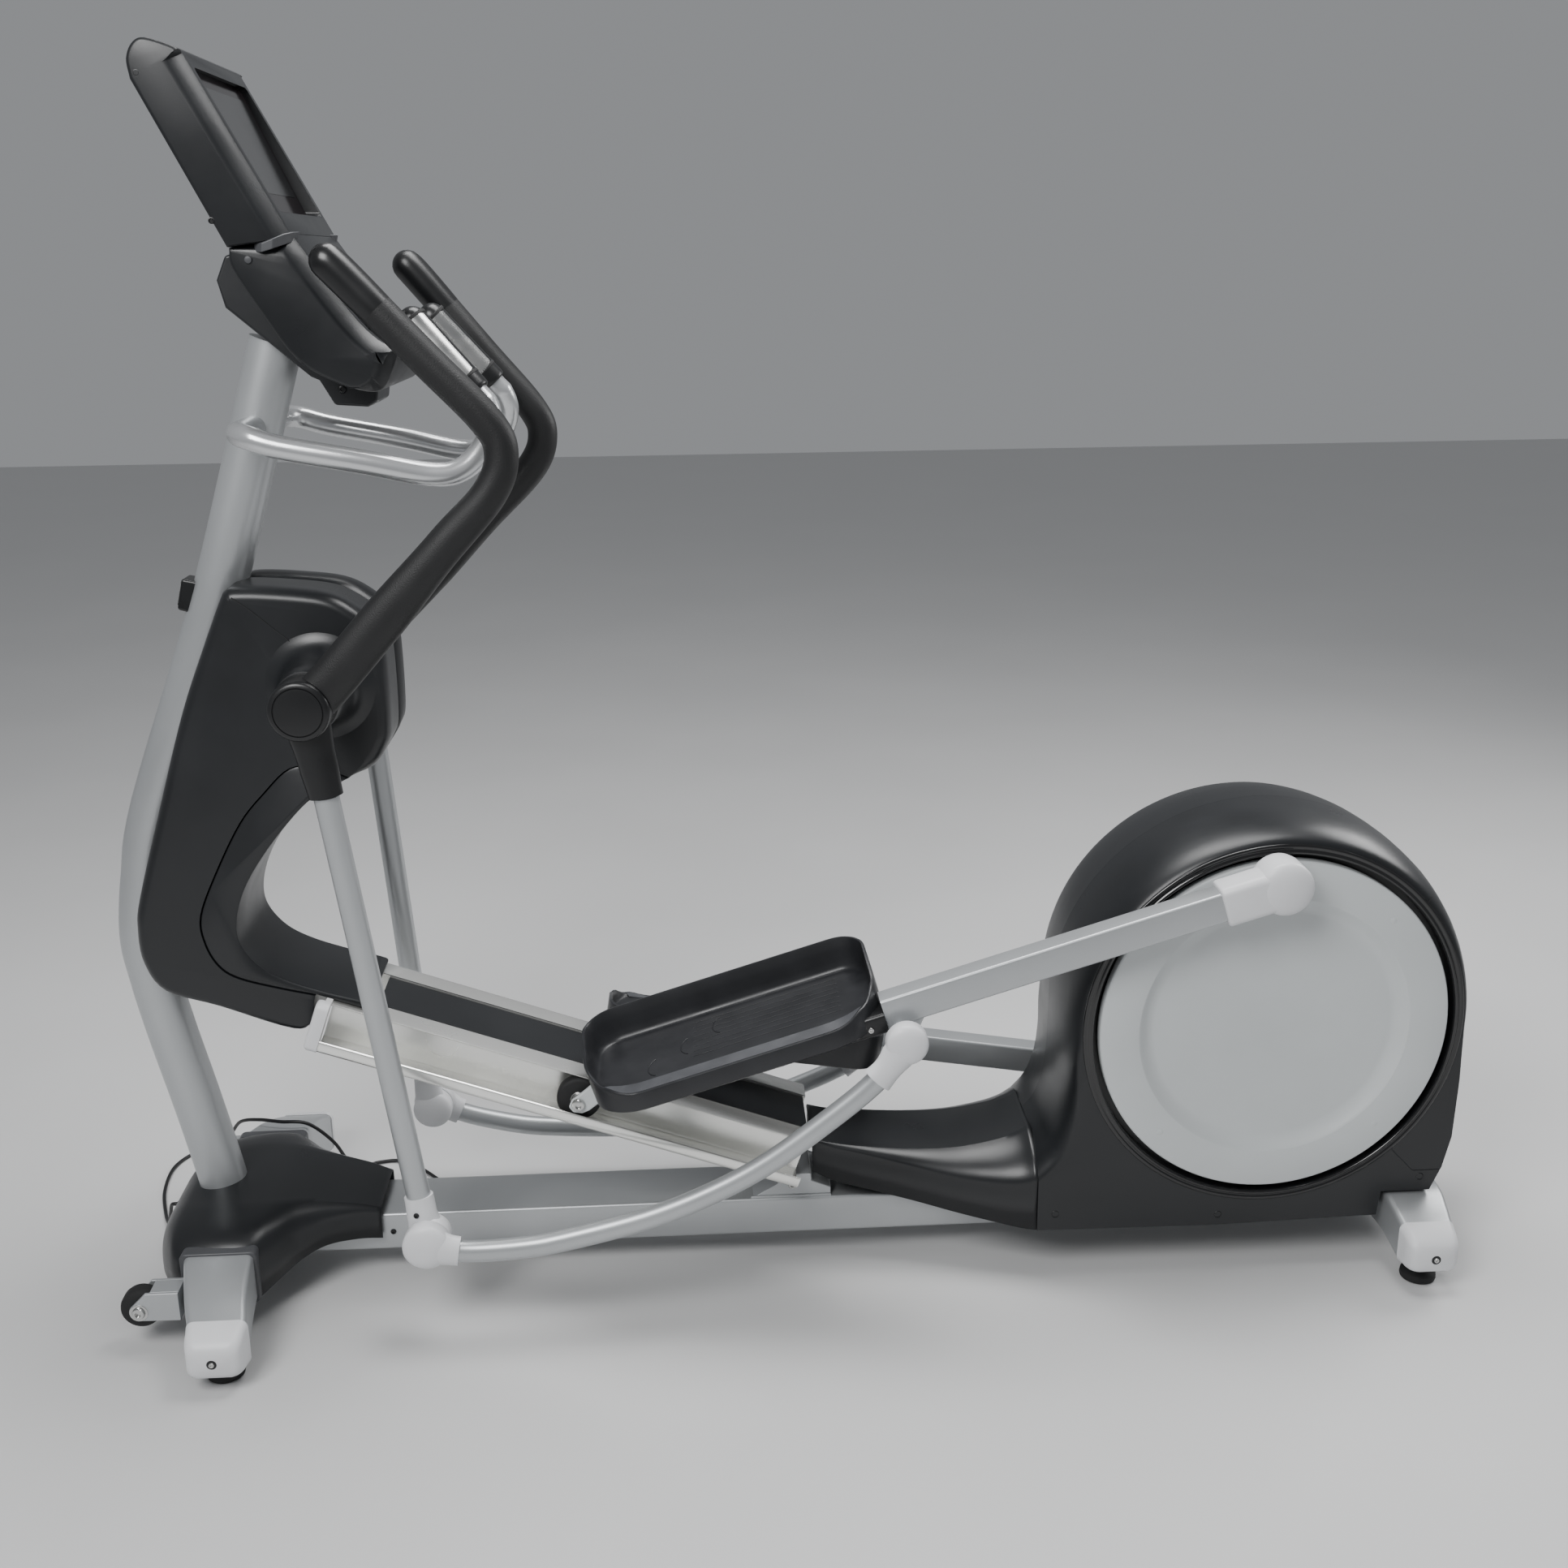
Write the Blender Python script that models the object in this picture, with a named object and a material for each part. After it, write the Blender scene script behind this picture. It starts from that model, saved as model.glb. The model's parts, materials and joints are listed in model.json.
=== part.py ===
"""Commercial elliptical trainer: front console tower, twin inclined rails, rear crank.

Metres, +Z up, +X towards the crank end, -Y the user's left.  The origin is on the
floor, under the middle of the machine.  Side-view shapes are given as (x, z) pairs.
"""
import bmesh
import bpy
from math import acos, atan2, cos, pi, radians, sin
from mathutils import Vector

# ---------------------------------------------------------------- driving dimensions
GAP = 0.0003                    # between pieces that touch
BEAM_HALF_WIDTH, BEAM_BOTTOM, BEAM_TOP = 0.055, 0.046, 0.108
BEAM_FRONT, BEAM_REAR = -0.812, 0.902
WALL = 0.004                    # moulded covers
TUBE_R = 0.036                  # upright
CRANK = Vector((0.707, 0.412))  # crank axis in side view
DISC_R, DISC_Y = 0.265, (-0.142, -0.124)
RAIL_REAR = Vector((0.014, 0.227))      # rear end of the rail's top edge
RAIL_LENGTH = 0.752
RAIL_SLOPE = radians(20)
RAIL_H, RAIL_IN, RAIL_OUT = 0.075, 0.055, 0.112
ROLLER_R = 0.0337
ARM_PITCH = radians(16.9)
ARM_Y = (-0.200, -0.160)
ARM_H = 0.045
SWING_PIVOT = Vector((-0.668, 0.961))
SWING_Y = -0.205
LINK_Y = -0.236
ROLLER_AXIS = Vector((-0.338, 0.316))   # left side at rest
LINK_FRONT = Vector((-0.558, 0.160))    # left side at rest
LINK_REAR = Vector((0.1405, 0.453))     # left side at rest
WHEEL_AXIS, WHEEL_R = Vector((-0.978, 0.070)), 0.030
FLYWHEEL = Vector((0.462, 0.232))


# ---------------------------------------------------------------- small tools
def clear_scene():
    for obj in list(bpy.data.objects):
        bpy.data.objects.remove(obj, do_unlink=True)


def material(name, colour, roughness, metallic=0.0):
    made = bpy.data.materials.new(name)
    made.use_nodes = True
    shader = made.node_tree.nodes["Principled BSDF"]
    shader.inputs["Base Color"].default_value = (*colour, 1)
    shader.inputs["Roughness"].default_value = roughness
    shader.inputs["Metallic"].default_value = metallic
    return made


def finish(name, bm, skin, pivot=None):
    """Turns a bmesh in world coordinates into a named object that may hang on a pivot."""
    bmesh.ops.recalc_face_normals(bm, faces=bm.faces)
    mesh = bpy.data.meshes.new(name)
    bm.to_mesh(mesh)
    bm.free()
    obj = bpy.data.objects.new(name, mesh)
    bpy.context.scene.collection.objects.link(obj)
    mesh.materials.append(skin)
    for face in mesh.polygons:
        face.use_smooth = True
    mesh.set_sharp_from_angle(angle=radians(35))
    if pivot:
        hang(obj, pivot)
    return obj


def pivot_at(name, x, y, z):
    empty = bpy.data.objects.new(name, None)
    bpy.context.scene.collection.objects.link(empty)
    empty.location = (x, y, z)
    bpy.context.view_layer.update()
    return empty


def hang(obj, pivot):
    obj.parent = pivot
    obj.matrix_parent_inverse = pivot.matrix_world.inverted()


def bake(obj):
    """Applies the object's modifiers."""
    graph = bpy.context.evaluated_depsgraph_get()
    mesh = bpy.data.meshes.new_from_object(obj.evaluated_get(graph))
    obj.modifiers.clear()
    for face in mesh.polygons:
        face.use_smooth = True
    mesh.set_sharp_from_angle(angle=radians(35))
    obj.data = mesh


def combine(obj, others, operation):
    for other in others:
        step = obj.modifiers.new("step", "BOOLEAN")
        step.operation = operation
        step.solver = "EXACT"
        step.object = other
        bpy.context.view_layer.update()
        bake(obj)
        bpy.data.objects.remove(other, do_unlink=True)
    return obj


def cut(obj, *cutters):
    return combine(obj, cutters, "DIFFERENCE")


def join(obj, *others):
    return combine(obj, others, "UNION")


def soften(obj, width, segments=2, angle=40):
    bevel = obj.modifiers.new("edge", "BEVEL")
    bevel.width = width
    bevel.segments = segments
    bevel.limit_method = "ANGLE"
    bevel.angle_limit = radians(angle)
    bpy.context.view_layer.update()
    bake(obj)
    return obj


def loft(name, sections, skin, pivot=None):
    """Skins closed loops that all have the same number of points, and caps both ends."""
    bm = bmesh.new()
    loops = [[bm.verts.new(p) for p in section] for section in sections]
    count = len(loops[0])
    for low, high in zip(loops, loops[1:]):
        for i in range(count):
            j = (i + 1) % count
            bm.faces.new((low[i], low[j], high[j], high[i]))
    bm.faces.new(loops[0])
    bm.faces.new(reversed(loops[-1]))
    return finish(name, bm, skin, pivot)


def prism(name, outline, y0, y1, skin, pivot=None):
    sections = [[(x, y, z) for x, z in outline] for y in (y0, y1)]
    return loft(name, sections, skin, pivot)


def box(name, low, high, skin, pivot=None):
    outline = [(low[0], low[2]), (high[0], low[2]), (high[0], high[2]), (low[0], high[2])]
    return prism(name, outline, low[1], high[1], skin, pivot)


def turned(name, centre, profile, skin, pivot=None, steps=32):
    """Solid of revolution about a Y axis at centre; profile is (radius, y), ends at radius 0."""
    bm = bmesh.new()
    rings = []
    for radius, y in profile:
        angles = [2 * pi * i / steps for i in range(steps)] if radius else [0]
        rings.append([bm.verts.new((centre[0] + radius * cos(a), y, centre[1] + radius * sin(a)))
                      for a in angles])
    for first, second in zip(rings, rings[1:]):
        for i in range(steps):
            j = (i + 1) % steps
            corners = [first[i % len(first)], first[j % len(first)],
                       second[j % len(second)], second[i % len(second)]]
            bm.faces.new(dict.fromkeys(corners))
    return finish(name, bm, skin, pivot)


def rod(name, centre, radius, y0, y1, skin, pivot=None, steps=18):
    return turned(name, centre, [(0, y0), (radius, y0), (radius, y1), (0, y1)], skin, pivot, steps)


def post(name, x, y, profile, skin, pivot=None, steps=14):
    """Solid of revolution about a vertical axis; profile is (radius, z) from bottom to top."""
    sections = [[(x + r * cos(2 * pi * i / steps), y + r * sin(2 * pi * i / steps), z)
                 for i in range(steps)] for r, z in profile]
    return loft(name, sections, skin, pivot)


def smooth(points, per_span=4):
    """Catmull-Rom curve through the points."""
    points = [Vector(p) for p in points]
    ends = [2 * points[0] - points[1]] + points + [2 * points[-1] - points[-2]]
    curve = []
    for a, b, c, d in zip(ends, ends[1:], ends[2:], ends[3:]):
        for i in range(per_span):
            t = i / per_span
            curve.append(0.5 * (2 * b + (c - a) * t + (2 * a - 5 * b + 4 * c - d) * t ** 2
                                + (3 * b - a - 3 * c + d) * t ** 3))
    return curve + [points[-1]]


def pipe(name, points, radius, skin, pivot=None, resolution=4):
    """Round tube along a list of 3-D points, closed at both ends."""
    data = bpy.data.curves.new(name, "CURVE")
    data.dimensions = "3D"
    data.bevel_depth = radius
    data.bevel_resolution = resolution
    data.use_fill_caps = True
    spline = data.splines.new("POLY")
    spline.points.add(len(points) - 1)
    for spot, point in zip(spline.points, points):
        spot.co = (*point, 1)
    curve = bpy.data.objects.new(name, data)
    bpy.context.scene.collection.objects.link(curve)
    bpy.context.view_layer.update()
    graph = bpy.context.evaluated_depsgraph_get()
    mesh = bpy.data.meshes.new_from_object(curve.evaluated_get(graph))
    bpy.data.objects.remove(curve, do_unlink=True)
    bm = bmesh.new()
    bm.from_mesh(mesh)
    bmesh.ops.remove_doubles(bm, verts=bm.verts, dist=1e-6)
    return finish(name, bm, skin, pivot)


def rounded(low, high, radius, steps=3):
    """Rounded rectangle between two corners, as (a, b) pairs, anticlockwise."""
    corners = [(high[0] - radius, low[1] + radius, -90), (high[0] - radius, high[1] - radius, 0),
               (low[0] + radius, high[1] - radius, 90), (low[0] + radius, low[1] + radius, 180)]
    return [(a + radius * cos(radians(start + 90 * i / steps)),
             b + radius * sin(radians(start + 90 * i / steps)))
            for a, b, start in corners for i in range(steps + 1)]


def offset(outline, distance):
    """Outline moved inwards by a distance; the outline runs anticlockwise."""
    moved = []
    count = len(outline)
    for i in range(count):
        before, here, after = (Vector(outline[(i + k) % count]) for k in (-1, 0, 1))
        one, two = (here - before).normalized(), (after - here).normalized()
        bisector = Vector((-one.y - two.y, one.x + two.x)).normalized()
        reach = distance / max(0.4, bisector.dot(Vector((-one.y, one.x))))
        moved.append(tuple(here + bisector * reach))
    return moved


def arc(centre, radius, start, end, steps):
    """Points on a circle in side view, angles in degrees from +X towards +Z."""
    return [(centre[0] + radius * cos(radians(start + (end - start) * i / steps)),
             centre[1] + radius * sin(radians(start + (end - start) * i / steps)))
            for i in range(steps + 1)]


def half_shell(name, outline, side, reach, skin, edge=0.008):
    """One half of a moulded cover: a flat side wall with a rounded edge, open at the middle."""
    depths = [(GAP / 2, 0), (reach - edge, 0), (reach - 0.3 * edge, 0.3 * edge), (reach, edge)]
    outer = loft(name, [[(x, side * y, z) for x, z in offset(outline, inset)]
                        for y, inset in depths], skin)
    inner = prism("hollow", offset(outline, WALL), side * -0.01, side * (reach - WALL), skin)
    return cut(outer, inner)


# ---------------------------------------------------------------- linkage geometry
def turned_about(point, centre, angle):
    """A side-view point turned about a centre; a positive angle lifts what is behind it."""
    away = Vector(point) - centre
    return centre + Vector((away.x * cos(angle) - away.y * sin(angle),
                            away.x * sin(angle) + away.y * cos(angle)))


def meet(first, r1, second, r2, lower):
    """Where two circles meet in side view."""
    span = second - first
    along = (r1 ** 2 - r2 ** 2 + span.length ** 2) / (2 * span.length)
    across = (r1 ** 2 - along ** 2) ** 0.5
    unit = span.normalized()
    side = Vector((unit.y, -unit.x)) * (1 if lower else -1)
    return first + unit * along + side * across


def direction(a, b):
    return atan2(b[1] - a[1], b[0] - a[0])


DOWN_RAIL = Vector((cos(RAIL_SLOPE), -sin(RAIL_SLOPE)))
CRANK_PIN = Vector((0.688, 0.655))
ARM_LENGTH = (CRANK_PIN - ROLLER_AXIS).length


def right_side():
    """Where the right foot arm, link and swing arm stand, half a crank turn from the left."""
    pin = 2 * CRANK - CRANK_PIN
    away = ROLLER_AXIS - pin
    half = away.dot(DOWN_RAIL)
    travel = -half - (half ** 2 - away.length_squared + ARM_LENGTH ** 2) ** 0.5
    roller = ROLLER_AXIS + travel * DOWN_RAIL
    lift = direction(roller, pin) - direction(ROLLER_AXIS, CRANK_PIN)
    rear = turned_about(LINK_REAR, ROLLER_AXIS, lift) + roller - ROLLER_AXIS
    front = meet(SWING_PIVOT, (LINK_FRONT - SWING_PIVOT).length,
                 rear, (LINK_FRONT - LINK_REAR).length, True)
    link = direction(front, rear) - direction(LINK_FRONT, LINK_REAR)
    swing = direction(SWING_PIVOT, front) - direction(SWING_PIVOT, LINK_FRONT)
    return roller, lift, rear, link, swing


def twin(left, name, old, new, angle, pivot):
    """The right-hand copy of a left-hand piece, turned about old and carried to new."""
    mesh = left.data.copy()
    for vertex in mesh.vertices:
        x, y, z = vertex.co
        spot = turned_about((x, z), old, angle) + new - old
        vertex.co = (spot.x, -y, spot.y)
    mesh.flip_normals()
    obj = bpy.data.objects.new(name, mesh)
    bpy.context.scene.collection.objects.link(obj)
    if pivot:
        hang(obj, pivot)
    return obj


def mirrored(left, name, pivot=None):
    still = Vector((0, 0))
    return twin(left, name, still, still, 0, pivot)


clear_scene()
silver = material("silver_paint", (0.52, 0.53, 0.55), 0.35, 0.6)
alloy = material("bright_alloy", (0.82, 0.82, 0.80), 0.25, 0.9)
white = material("pale_plastic", (0.74, 0.74, 0.75), 0.4)
black = material("black_plastic", (0.025, 0.026, 0.028), 0.45)
rubber = material("rubber", (0.015, 0.015, 0.016), 0.8)
disc_grey = material("disc_plastic", (0.62, 0.64, 0.64), 0.45)
steel = material("steel", (0.55, 0.55, 0.56), 0.3, 1.0)
glass = material("screen_glass", (0.01, 0.01, 0.012), 0.08)


# ---------------------------------------------------------------- base frame
def base_frame():
    """Rectangular beam with the rail bracket and the crank bearing frame welded on."""
    beam = box("base_frame", (BEAM_FRONT, -BEAM_HALF_WIDTH, BEAM_BOTTOM),
               (BEAM_REAR, BEAM_HALF_WIDTH, BEAM_TOP), silver)
    bracket = box("bracket", (-0.050, -0.050, BEAM_TOP - 0.01), (0.0155, 0.050, 0.146), silver)
    cheeks = []
    for side in (-1, 1):
        outline = [(CRANK.x - 0.16, BEAM_TOP - 0.01), (CRANK.x + 0.13, BEAM_TOP - 0.01),
                   (CRANK.x + 0.045, CRANK.y + 0.02), (CRANK.x + 0.02, CRANK.y + 0.045),
                   (CRANK.x - 0.02, CRANK.y + 0.045), (CRANK.x - 0.045, CRANK.y + 0.02)]
        cheeks.append(prism("cheek", outline, side * 0.046, side * 0.054, silver))
        cheeks.append(rod("housing", CRANK, 0.030, side * 0.040, side * 0.075, silver))
        flange = [(FLYWHEEL.x - 0.05, BEAM_TOP - 0.01), (FLYWHEEL.x + 0.05, BEAM_TOP - 0.01),
                  (FLYWHEEL.x + 0.02, FLYWHEEL.y + 0.02), (FLYWHEEL.x - 0.02, FLYWHEEL.y + 0.02)]
        cheeks.append(prism("flange", flange, side * 0.044, side * 0.052, silver))
    join(beam, bracket, *cheeks)
    bore = rod("bore", CRANK, 0.0125 + GAP, -0.2, 0.2, silver)
    bearing = rod("bearing", FLYWHEEL, 0.010 + GAP, -0.2, 0.2, silver)
    inside = box("inside", (BEAM_FRONT - 0.01, -BEAM_HALF_WIDTH + 0.003, BEAM_BOTTOM + 0.003),
                 (BEAM_REAR + 0.01, BEAM_HALF_WIDTH - 0.003, BEAM_TOP - 0.003), silver)
    return cut(beam, bore, bearing, inside)


def leg_section(y, x0, x1, bottom, top, corner=0.012):
    return [(x, y, z) for x, z in rounded((x0, bottom), (x1, top), corner, 2)]


def leg_loft(name, stations, skin):
    """Both legs and the middle between them; stations are (y, x0, x1, bottom, top)."""
    half = [leg_section(*station) for station in stations]
    other = [[(x, -y, z) for x, y, z in section] for section in reversed(half[1:])]
    return loft(name, other + half, skin)


def stabilizer(name, stations, feet_x, feet_y):
    """Cross tube whose legs curve down and taper."""
    tube = leg_loft(name, stations, silver)
    for side in (-1, 1):
        bore = post("bore", feet_x, side * feet_y, [(0.0065, 0.01), (0.0065, 0.062)], silver)
        cut(tube, bore)
    return tube


def end_cap(name, y_in, y_out, x0, x1, bottom, top, feet_x, feet_y):
    """Plastic cap over the end of a leg, with a screw recess, above the leveling foot."""
    sections = [leg_section(y_in, x0 - 0.001, x1 + 0.001, bottom, top, 0.012),
                leg_section(y_out + 0.010, x0 + 0.001, x1 - 0.001, bottom, top - 0.003, 0.014),
                leg_section(y_out + 0.002, x0 + 0.007, x1 - 0.007, bottom + 0.004, top - 0.010, 0.014),
                leg_section(y_out, x0 + 0.012, x1 - 0.012, bottom + 0.009, top - 0.016, 0.013)]
    cap = loft(name, sections, white)
    middle = ((x0 + x1) / 2, (bottom + top) / 2 - 0.006)
    cut(cap, rod("recess", middle, 0.0065, y_out - 0.01, y_out + 0.012, white, steps=16))
    stud = post("stud", feet_x, feet_y, [(0.0075, bottom - 0.01), (0.0075, top + 0.01)], white)
    return cut(cap, stud)


def leveling_foot(name, x, y, height):
    """Screw-in foot: rubber pad, hexagon and threaded stud."""
    pad = post(name, x, y, [(0.026, 0.0), (0.027, 0.004), (0.025, 0.013), (0.013, 0.016),
                            (0.0055, 0.0165), (0.0055, height)], rubber,
               pivot_at(name + "_axis", x, y, 0.0))
    return pad


FRONT_LEG = [(0.0, -0.925, -0.8125, 0.046, 0.1075), (0.09, -0.926, -0.815, 0.046, 0.112),
             (0.17, -0.924, -0.821, 0.050, 0.128), (0.22, -0.914, -0.818, 0.046, 0.125),
             (0.27, -0.901, -0.812, 0.036, 0.112), (0.308, -0.889, -0.805, 0.026, 0.097)]
REAR_LEG = [(0.0, 0.9055, 1.000, 0.050, 0.118), (0.08, 0.903, 1.001, 0.052, 0.122),
            (0.13, 0.904, 0.998, 0.052, 0.122), (0.165, 0.905, 0.993, 0.046, 0.114),
            (0.195, 0.907, 0.989, 0.036, 0.103)]


def swept(name, points, y, across, sideways, skin, pivot=None, steps=12):
    """Tube in a plane of constant y; across and sideways are its half-widths, one per point."""
    points = [Vector(p) for p in points]
    widths = across if isinstance(across, list) else [across] * len(points)
    depths = sideways if isinstance(sideways, list) else [sideways] * len(points)
    sections = []
    for i, point in enumerate(points):
        along = (points[min(i + 1, len(points) - 1)] - points[max(i - 1, 0)]).normalized()
        normal = Vector((-along.y, along.x))
        section = []
        for k in range(steps):
            turn = 2 * pi * k / steps
            spot = point + normal * widths[i] * cos(turn)
            section.append((spot.x, y + depths[i] * sin(turn), spot.y))
        sections.append(section)
    return loft(name, sections, skin, pivot)


def flat_smooth(points, per_span=3):
    return [(p.x, p.y) for p in smooth([(x, z, 0) for x, z in points], per_span)]


def arch_loft(name, stations, skin, inset=0.0, drop=0.0, steps=14, squareness=0.62):
    """Domed cover lofted along X; stations are (x, half width, bottom, top)."""
    sections = []
    for x, half, bottom, top in stations:
        turns = [pi * i / steps for i in range(steps + 1)]
        width, low, height = half - inset, bottom - drop, top - inset
        arch = [(x, width * abs(cos(t)) ** squareness * (1 if cos(t) >= 0 else -1),
                 bottom + (height - bottom) * sin(t) ** squareness) for t in turns]
        sections.append(arch + [(x, -width, low), (x, width, low)] if drop else arch)
    return loft(name, sections, skin)


base_frame()
stabilizer("front_stabilizer", FRONT_LEG, -0.846, 0.293)
stabilizer("rear_stabilizer", REAR_LEG, 0.948, 0.181)
for place, leg, reach, foot_x, foot_y in (("front", FRONT_LEG, 0.351, -0.846, 0.293),
                                          ("rear", REAR_LEG, 0.238, 0.948, 0.181)):
    y_in, x0, x1, bottom, top = leg[-1]
    cap = end_cap(place + "_cap_left", -y_in - GAP, -reach, x0, x1, bottom, top, foot_x, -foot_y)
    foot = leveling_foot(place + "_foot_left", foot_x, -foot_y, 0.058)
    mirrored(cap, place + "_cap_right")
    mirrored(foot, place + "_foot_right", pivot_at(place + "_foot_right_axis", foot_x, foot_y, 0))


# ---------------------------------------------------------------- upright and its covers
UPRIGHT = [(-0.905, 0.1100), (-0.907, 0.15), (-0.931, 0.28), (-0.958, 0.41), (-0.974, 0.502),
           (-0.980, 0.568), (-0.967, 0.66), (-0.939, 0.77), (-0.817, 1.08), (-0.704, 1.424)]
SHAFT_R = 0.012


def upright_tube():
    """Bent tube with the swing-shaft bracket and the ramp bracket welded to it."""
    tube = swept("upright_tube", flat_smooth(UPRIGHT, 2), 0, TUBE_R, TUBE_R, silver, steps=20)
    plates = [prism("plate", [(-0.866, 0.90), (-0.655, 0.935), (-0.643, 0.961), (-0.655, 0.985),
                              (-0.835, 1.02)], side * 0.026, side * 0.033, silver)
              for side in (-1, 1)]
    foot = prism("foot", [(-0.957, 0.48), (-0.66, 0.405), (-0.655, 0.425), (-0.957, 0.55)],
                 -0.02, 0.02, silver)
    join(tube, foot, *plates)
    shaft_bore = rod("bore", SWING_PIVOT, SHAFT_R + GAP, -0.1, 0.1, silver)
    rail_bore = rod("bore", HANDRAIL_CROSS, HANDRAIL_R + GAP, -0.1, 0.1, silver)
    return cut(tube, shaft_bore, rail_bore)


def tube_clearance():
    return swept("clearance", flat_smooth(UPRIGHT, 2), 0, TUBE_R + GAP, TUBE_R + GAP, silver,
                 steps=20)


TOWER = [(-0.756, 0.436), (-0.722, 0.449), (-0.716, 0.4945), (-0.768, 0.5075), (-0.824, 0.525),
         (-0.851, 0.545), (-0.867, 0.58), (-0.869, 0.624), (-0.840, 0.69), (-0.799, 0.763),
         (-0.762, 0.806), (-0.722, 0.842), (-0.680, 0.843), (-0.640, 0.826), (-0.606, 0.84),
         (-0.586, 0.868), (-0.578, 0.90), (-0.578, 1.009), (-0.587, 1.040), (-0.613, 1.068),
         (-0.653, 1.089), (-0.72, 1.098), (-0.789, 1.101), (-0.826, 1.02), (-0.866, 0.925),
         (-0.912, 0.79), (-0.957, 0.651), (-0.966, 0.603), (-0.963, 0.55), (-0.936, 0.504),
         (-0.86, 0.476)]
TOWER_HALF = 0.088
NECK = [(-0.7155, 0.4948), (-0.645, 0.4695), (-0.642, 0.480), (-0.70, 0.4985), (-0.752, 0.518),
        (-0.790, 0.541), (-0.815, 0.575), (-0.819, 0.61), (-0.806, 0.655), (-0.78, 0.70),
        (-0.737, 0.755), (-0.694, 0.797), (-0.640, 0.8255), (-0.680, 0.8427), (-0.7218, 0.8417),
        (-0.7617, 0.8057), (-0.7987, 0.7627), (-0.8397, 0.6897), (-0.8687, 0.6237),
        (-0.8667, 0.58), (-0.8507, 0.5453), (-0.8237, 0.5253), (-0.7677, 0.5078)]
POCKET = (-0.572, 0.862, 0.990)     # rear face, bottom, top


def tower_cover():
    """Left half of the tower cover, open where the tube, the neck and the insert meet it."""
    cover = half_shell("tower_cover_left", TOWER, -1, TOWER_HALF, black)
    neck_side = offset(NECK, -0.012)
    cut(cover, tube_clearance(),
        rod("bore", SWING_PIVOT, SHAFT_R + GAP, -0.2, 0.2, black),
        prism("neck", neck_side, -(TOWER_HALF - WALL), 0.01, black),
        box("insert", (-0.66, -0.0603, 0.8437), (-0.5, 0.0603, 1.0603), black),
        prism("ramp slot", [(-0.98, 0.45), (-0.6, 0.37), (-0.6, 0.48), (-0.90, 0.56), (-0.98, 0.56)],
              -0.021, 0.021, black),
        box("plate slot", (-0.90, -0.034, 0.88), (-0.78, 0.034, 1.035), black))
    return cover


def neck_cover():
    """Wrap on the inside of the bend: two side bands and the concave wall between them."""
    wrap = prism("neck_cover", NECK, -TOWER_HALF, TOWER_HALF, black)
    soften(wrap, 0.006, 2, 60)
    core = [(x - 0.006, z - 0.001) if k > 12 or k == 0 else (x, z)
            for k, (x, z) in enumerate(offset(NECK, WALL))]
    hollow = [(x - 0.02, z) if k > 12 or k == 0 else (x, z) for k, (x, z) in enumerate(core)]
    half = TOWER_HALF - WALL
    return cut(wrap, prism("hollow", hollow, -half, half, black),
               box("foot", (-0.9, -0.021, 0.3), (-0.6, 0.021, 0.470), black))


def tower_insert():
    """Rear panel between the two tower halves, with the deep open pocket."""
    outline = [(-0.586, 0.8686), (-0.578, 0.90), (-0.578, 1.009), (-0.586, 1.038), (-0.603, 1.0597),
               (-0.640, 1.0597), (-0.640, 0.8443), (-0.602, 0.8443)]
    panel = prism("tower_rear_insert", outline, -0.060, 0.060, black)
    soften(panel, 0.003, 1, 60)
    pocket = box("pocket", (-0.628, -0.052, POCKET[1]), (-0.5, 0.052, POCKET[2]), black)
    soften(pocket, 0.008, 2, 60)
    relief = box("relief", (-0.66, -0.056, 1.0), (-0.59, 0.056, 1.05), black)
    return cut(panel, pocket, relief)


HANDRAIL_CROSS = Vector((-0.737, 1.312))
HANDRAIL_R = 0.016
upright_tube()
left_tower = tower_cover()
mirrored(left_tower, "tower_cover_right")
neck_cover()
tower_insert()
rod("handle_pivot_shaft", SWING_PIVOT, SHAFT_R, -0.2195, 0.2195, steel)


def front_base_cover():
    """Domed cover over the joint of the upright, the beam and the front legs."""
    stations = [(-0.985, 0.080, 0.070, 0.098), (-0.977, 0.115, 0.068, 0.122),
                (-0.958, 0.150, 0.066, 0.140), (-0.935, 0.172, 0.060, 0.150),
                (-0.880, 0.184, 0.052, 0.158), (-0.830, 0.183, 0.050, 0.164),
                (-0.800, 0.160, 0.068, 0.165), (-0.770, 0.112, 0.082, 0.158),
                (-0.735, 0.080, 0.090, 0.147), (-0.690, 0.066, 0.082, 0.132),
                (-0.655, 0.060, 0.074, 0.122)]
    cover = arch_loft("front_base_cover", stations, black)
    hollow = arch_loft("hollow", [(x, h, b, t) for x, h, b, t in stations[1:-1]], black,
                       inset=WALL, drop=0.06)
    leg = [(s[0], s[1] - 0.0008, s[2] + 0.0008, s[3] - 0.003, s[4] + 0.0008) for s in FRONT_LEG]
    rear = box("rear", (-0.70, -0.0555, 0.0), (-0.64, 0.0555, BEAM_TOP + 0.0006), black)
    bushing = [[(x, 0.045 + 0.0063 * cos(2 * pi * i / 16), 0.0835 + 0.0063 * sin(2 * pi * i / 16))
                for i in range(16)] for x in (-1.0, -0.96)]
    return cut(cover, hollow, leg_loft("leg", leg, black), tube_clearance(), rear,
               loft("bushing", bushing, black))


front_base_cover()


def wheel_bracket():
    """U-shaped steel fork on the front of the leg that holds the transport wheel."""
    fork = box("wheel_bracket_left", (-0.993, -0.238, 0.055), (-0.9195, -0.196, 0.100), silver)
    soften(fork, 0.002, 1)
    slot = box("slot", (-1.05, -0.2325, 0.0), (-0.945, -0.2015, 0.2), silver)
    bore = rod("bore", WHEEL_AXIS, 0.004, -0.233, -0.15, silver)
    return cut(fork, slot, bore)


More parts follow.
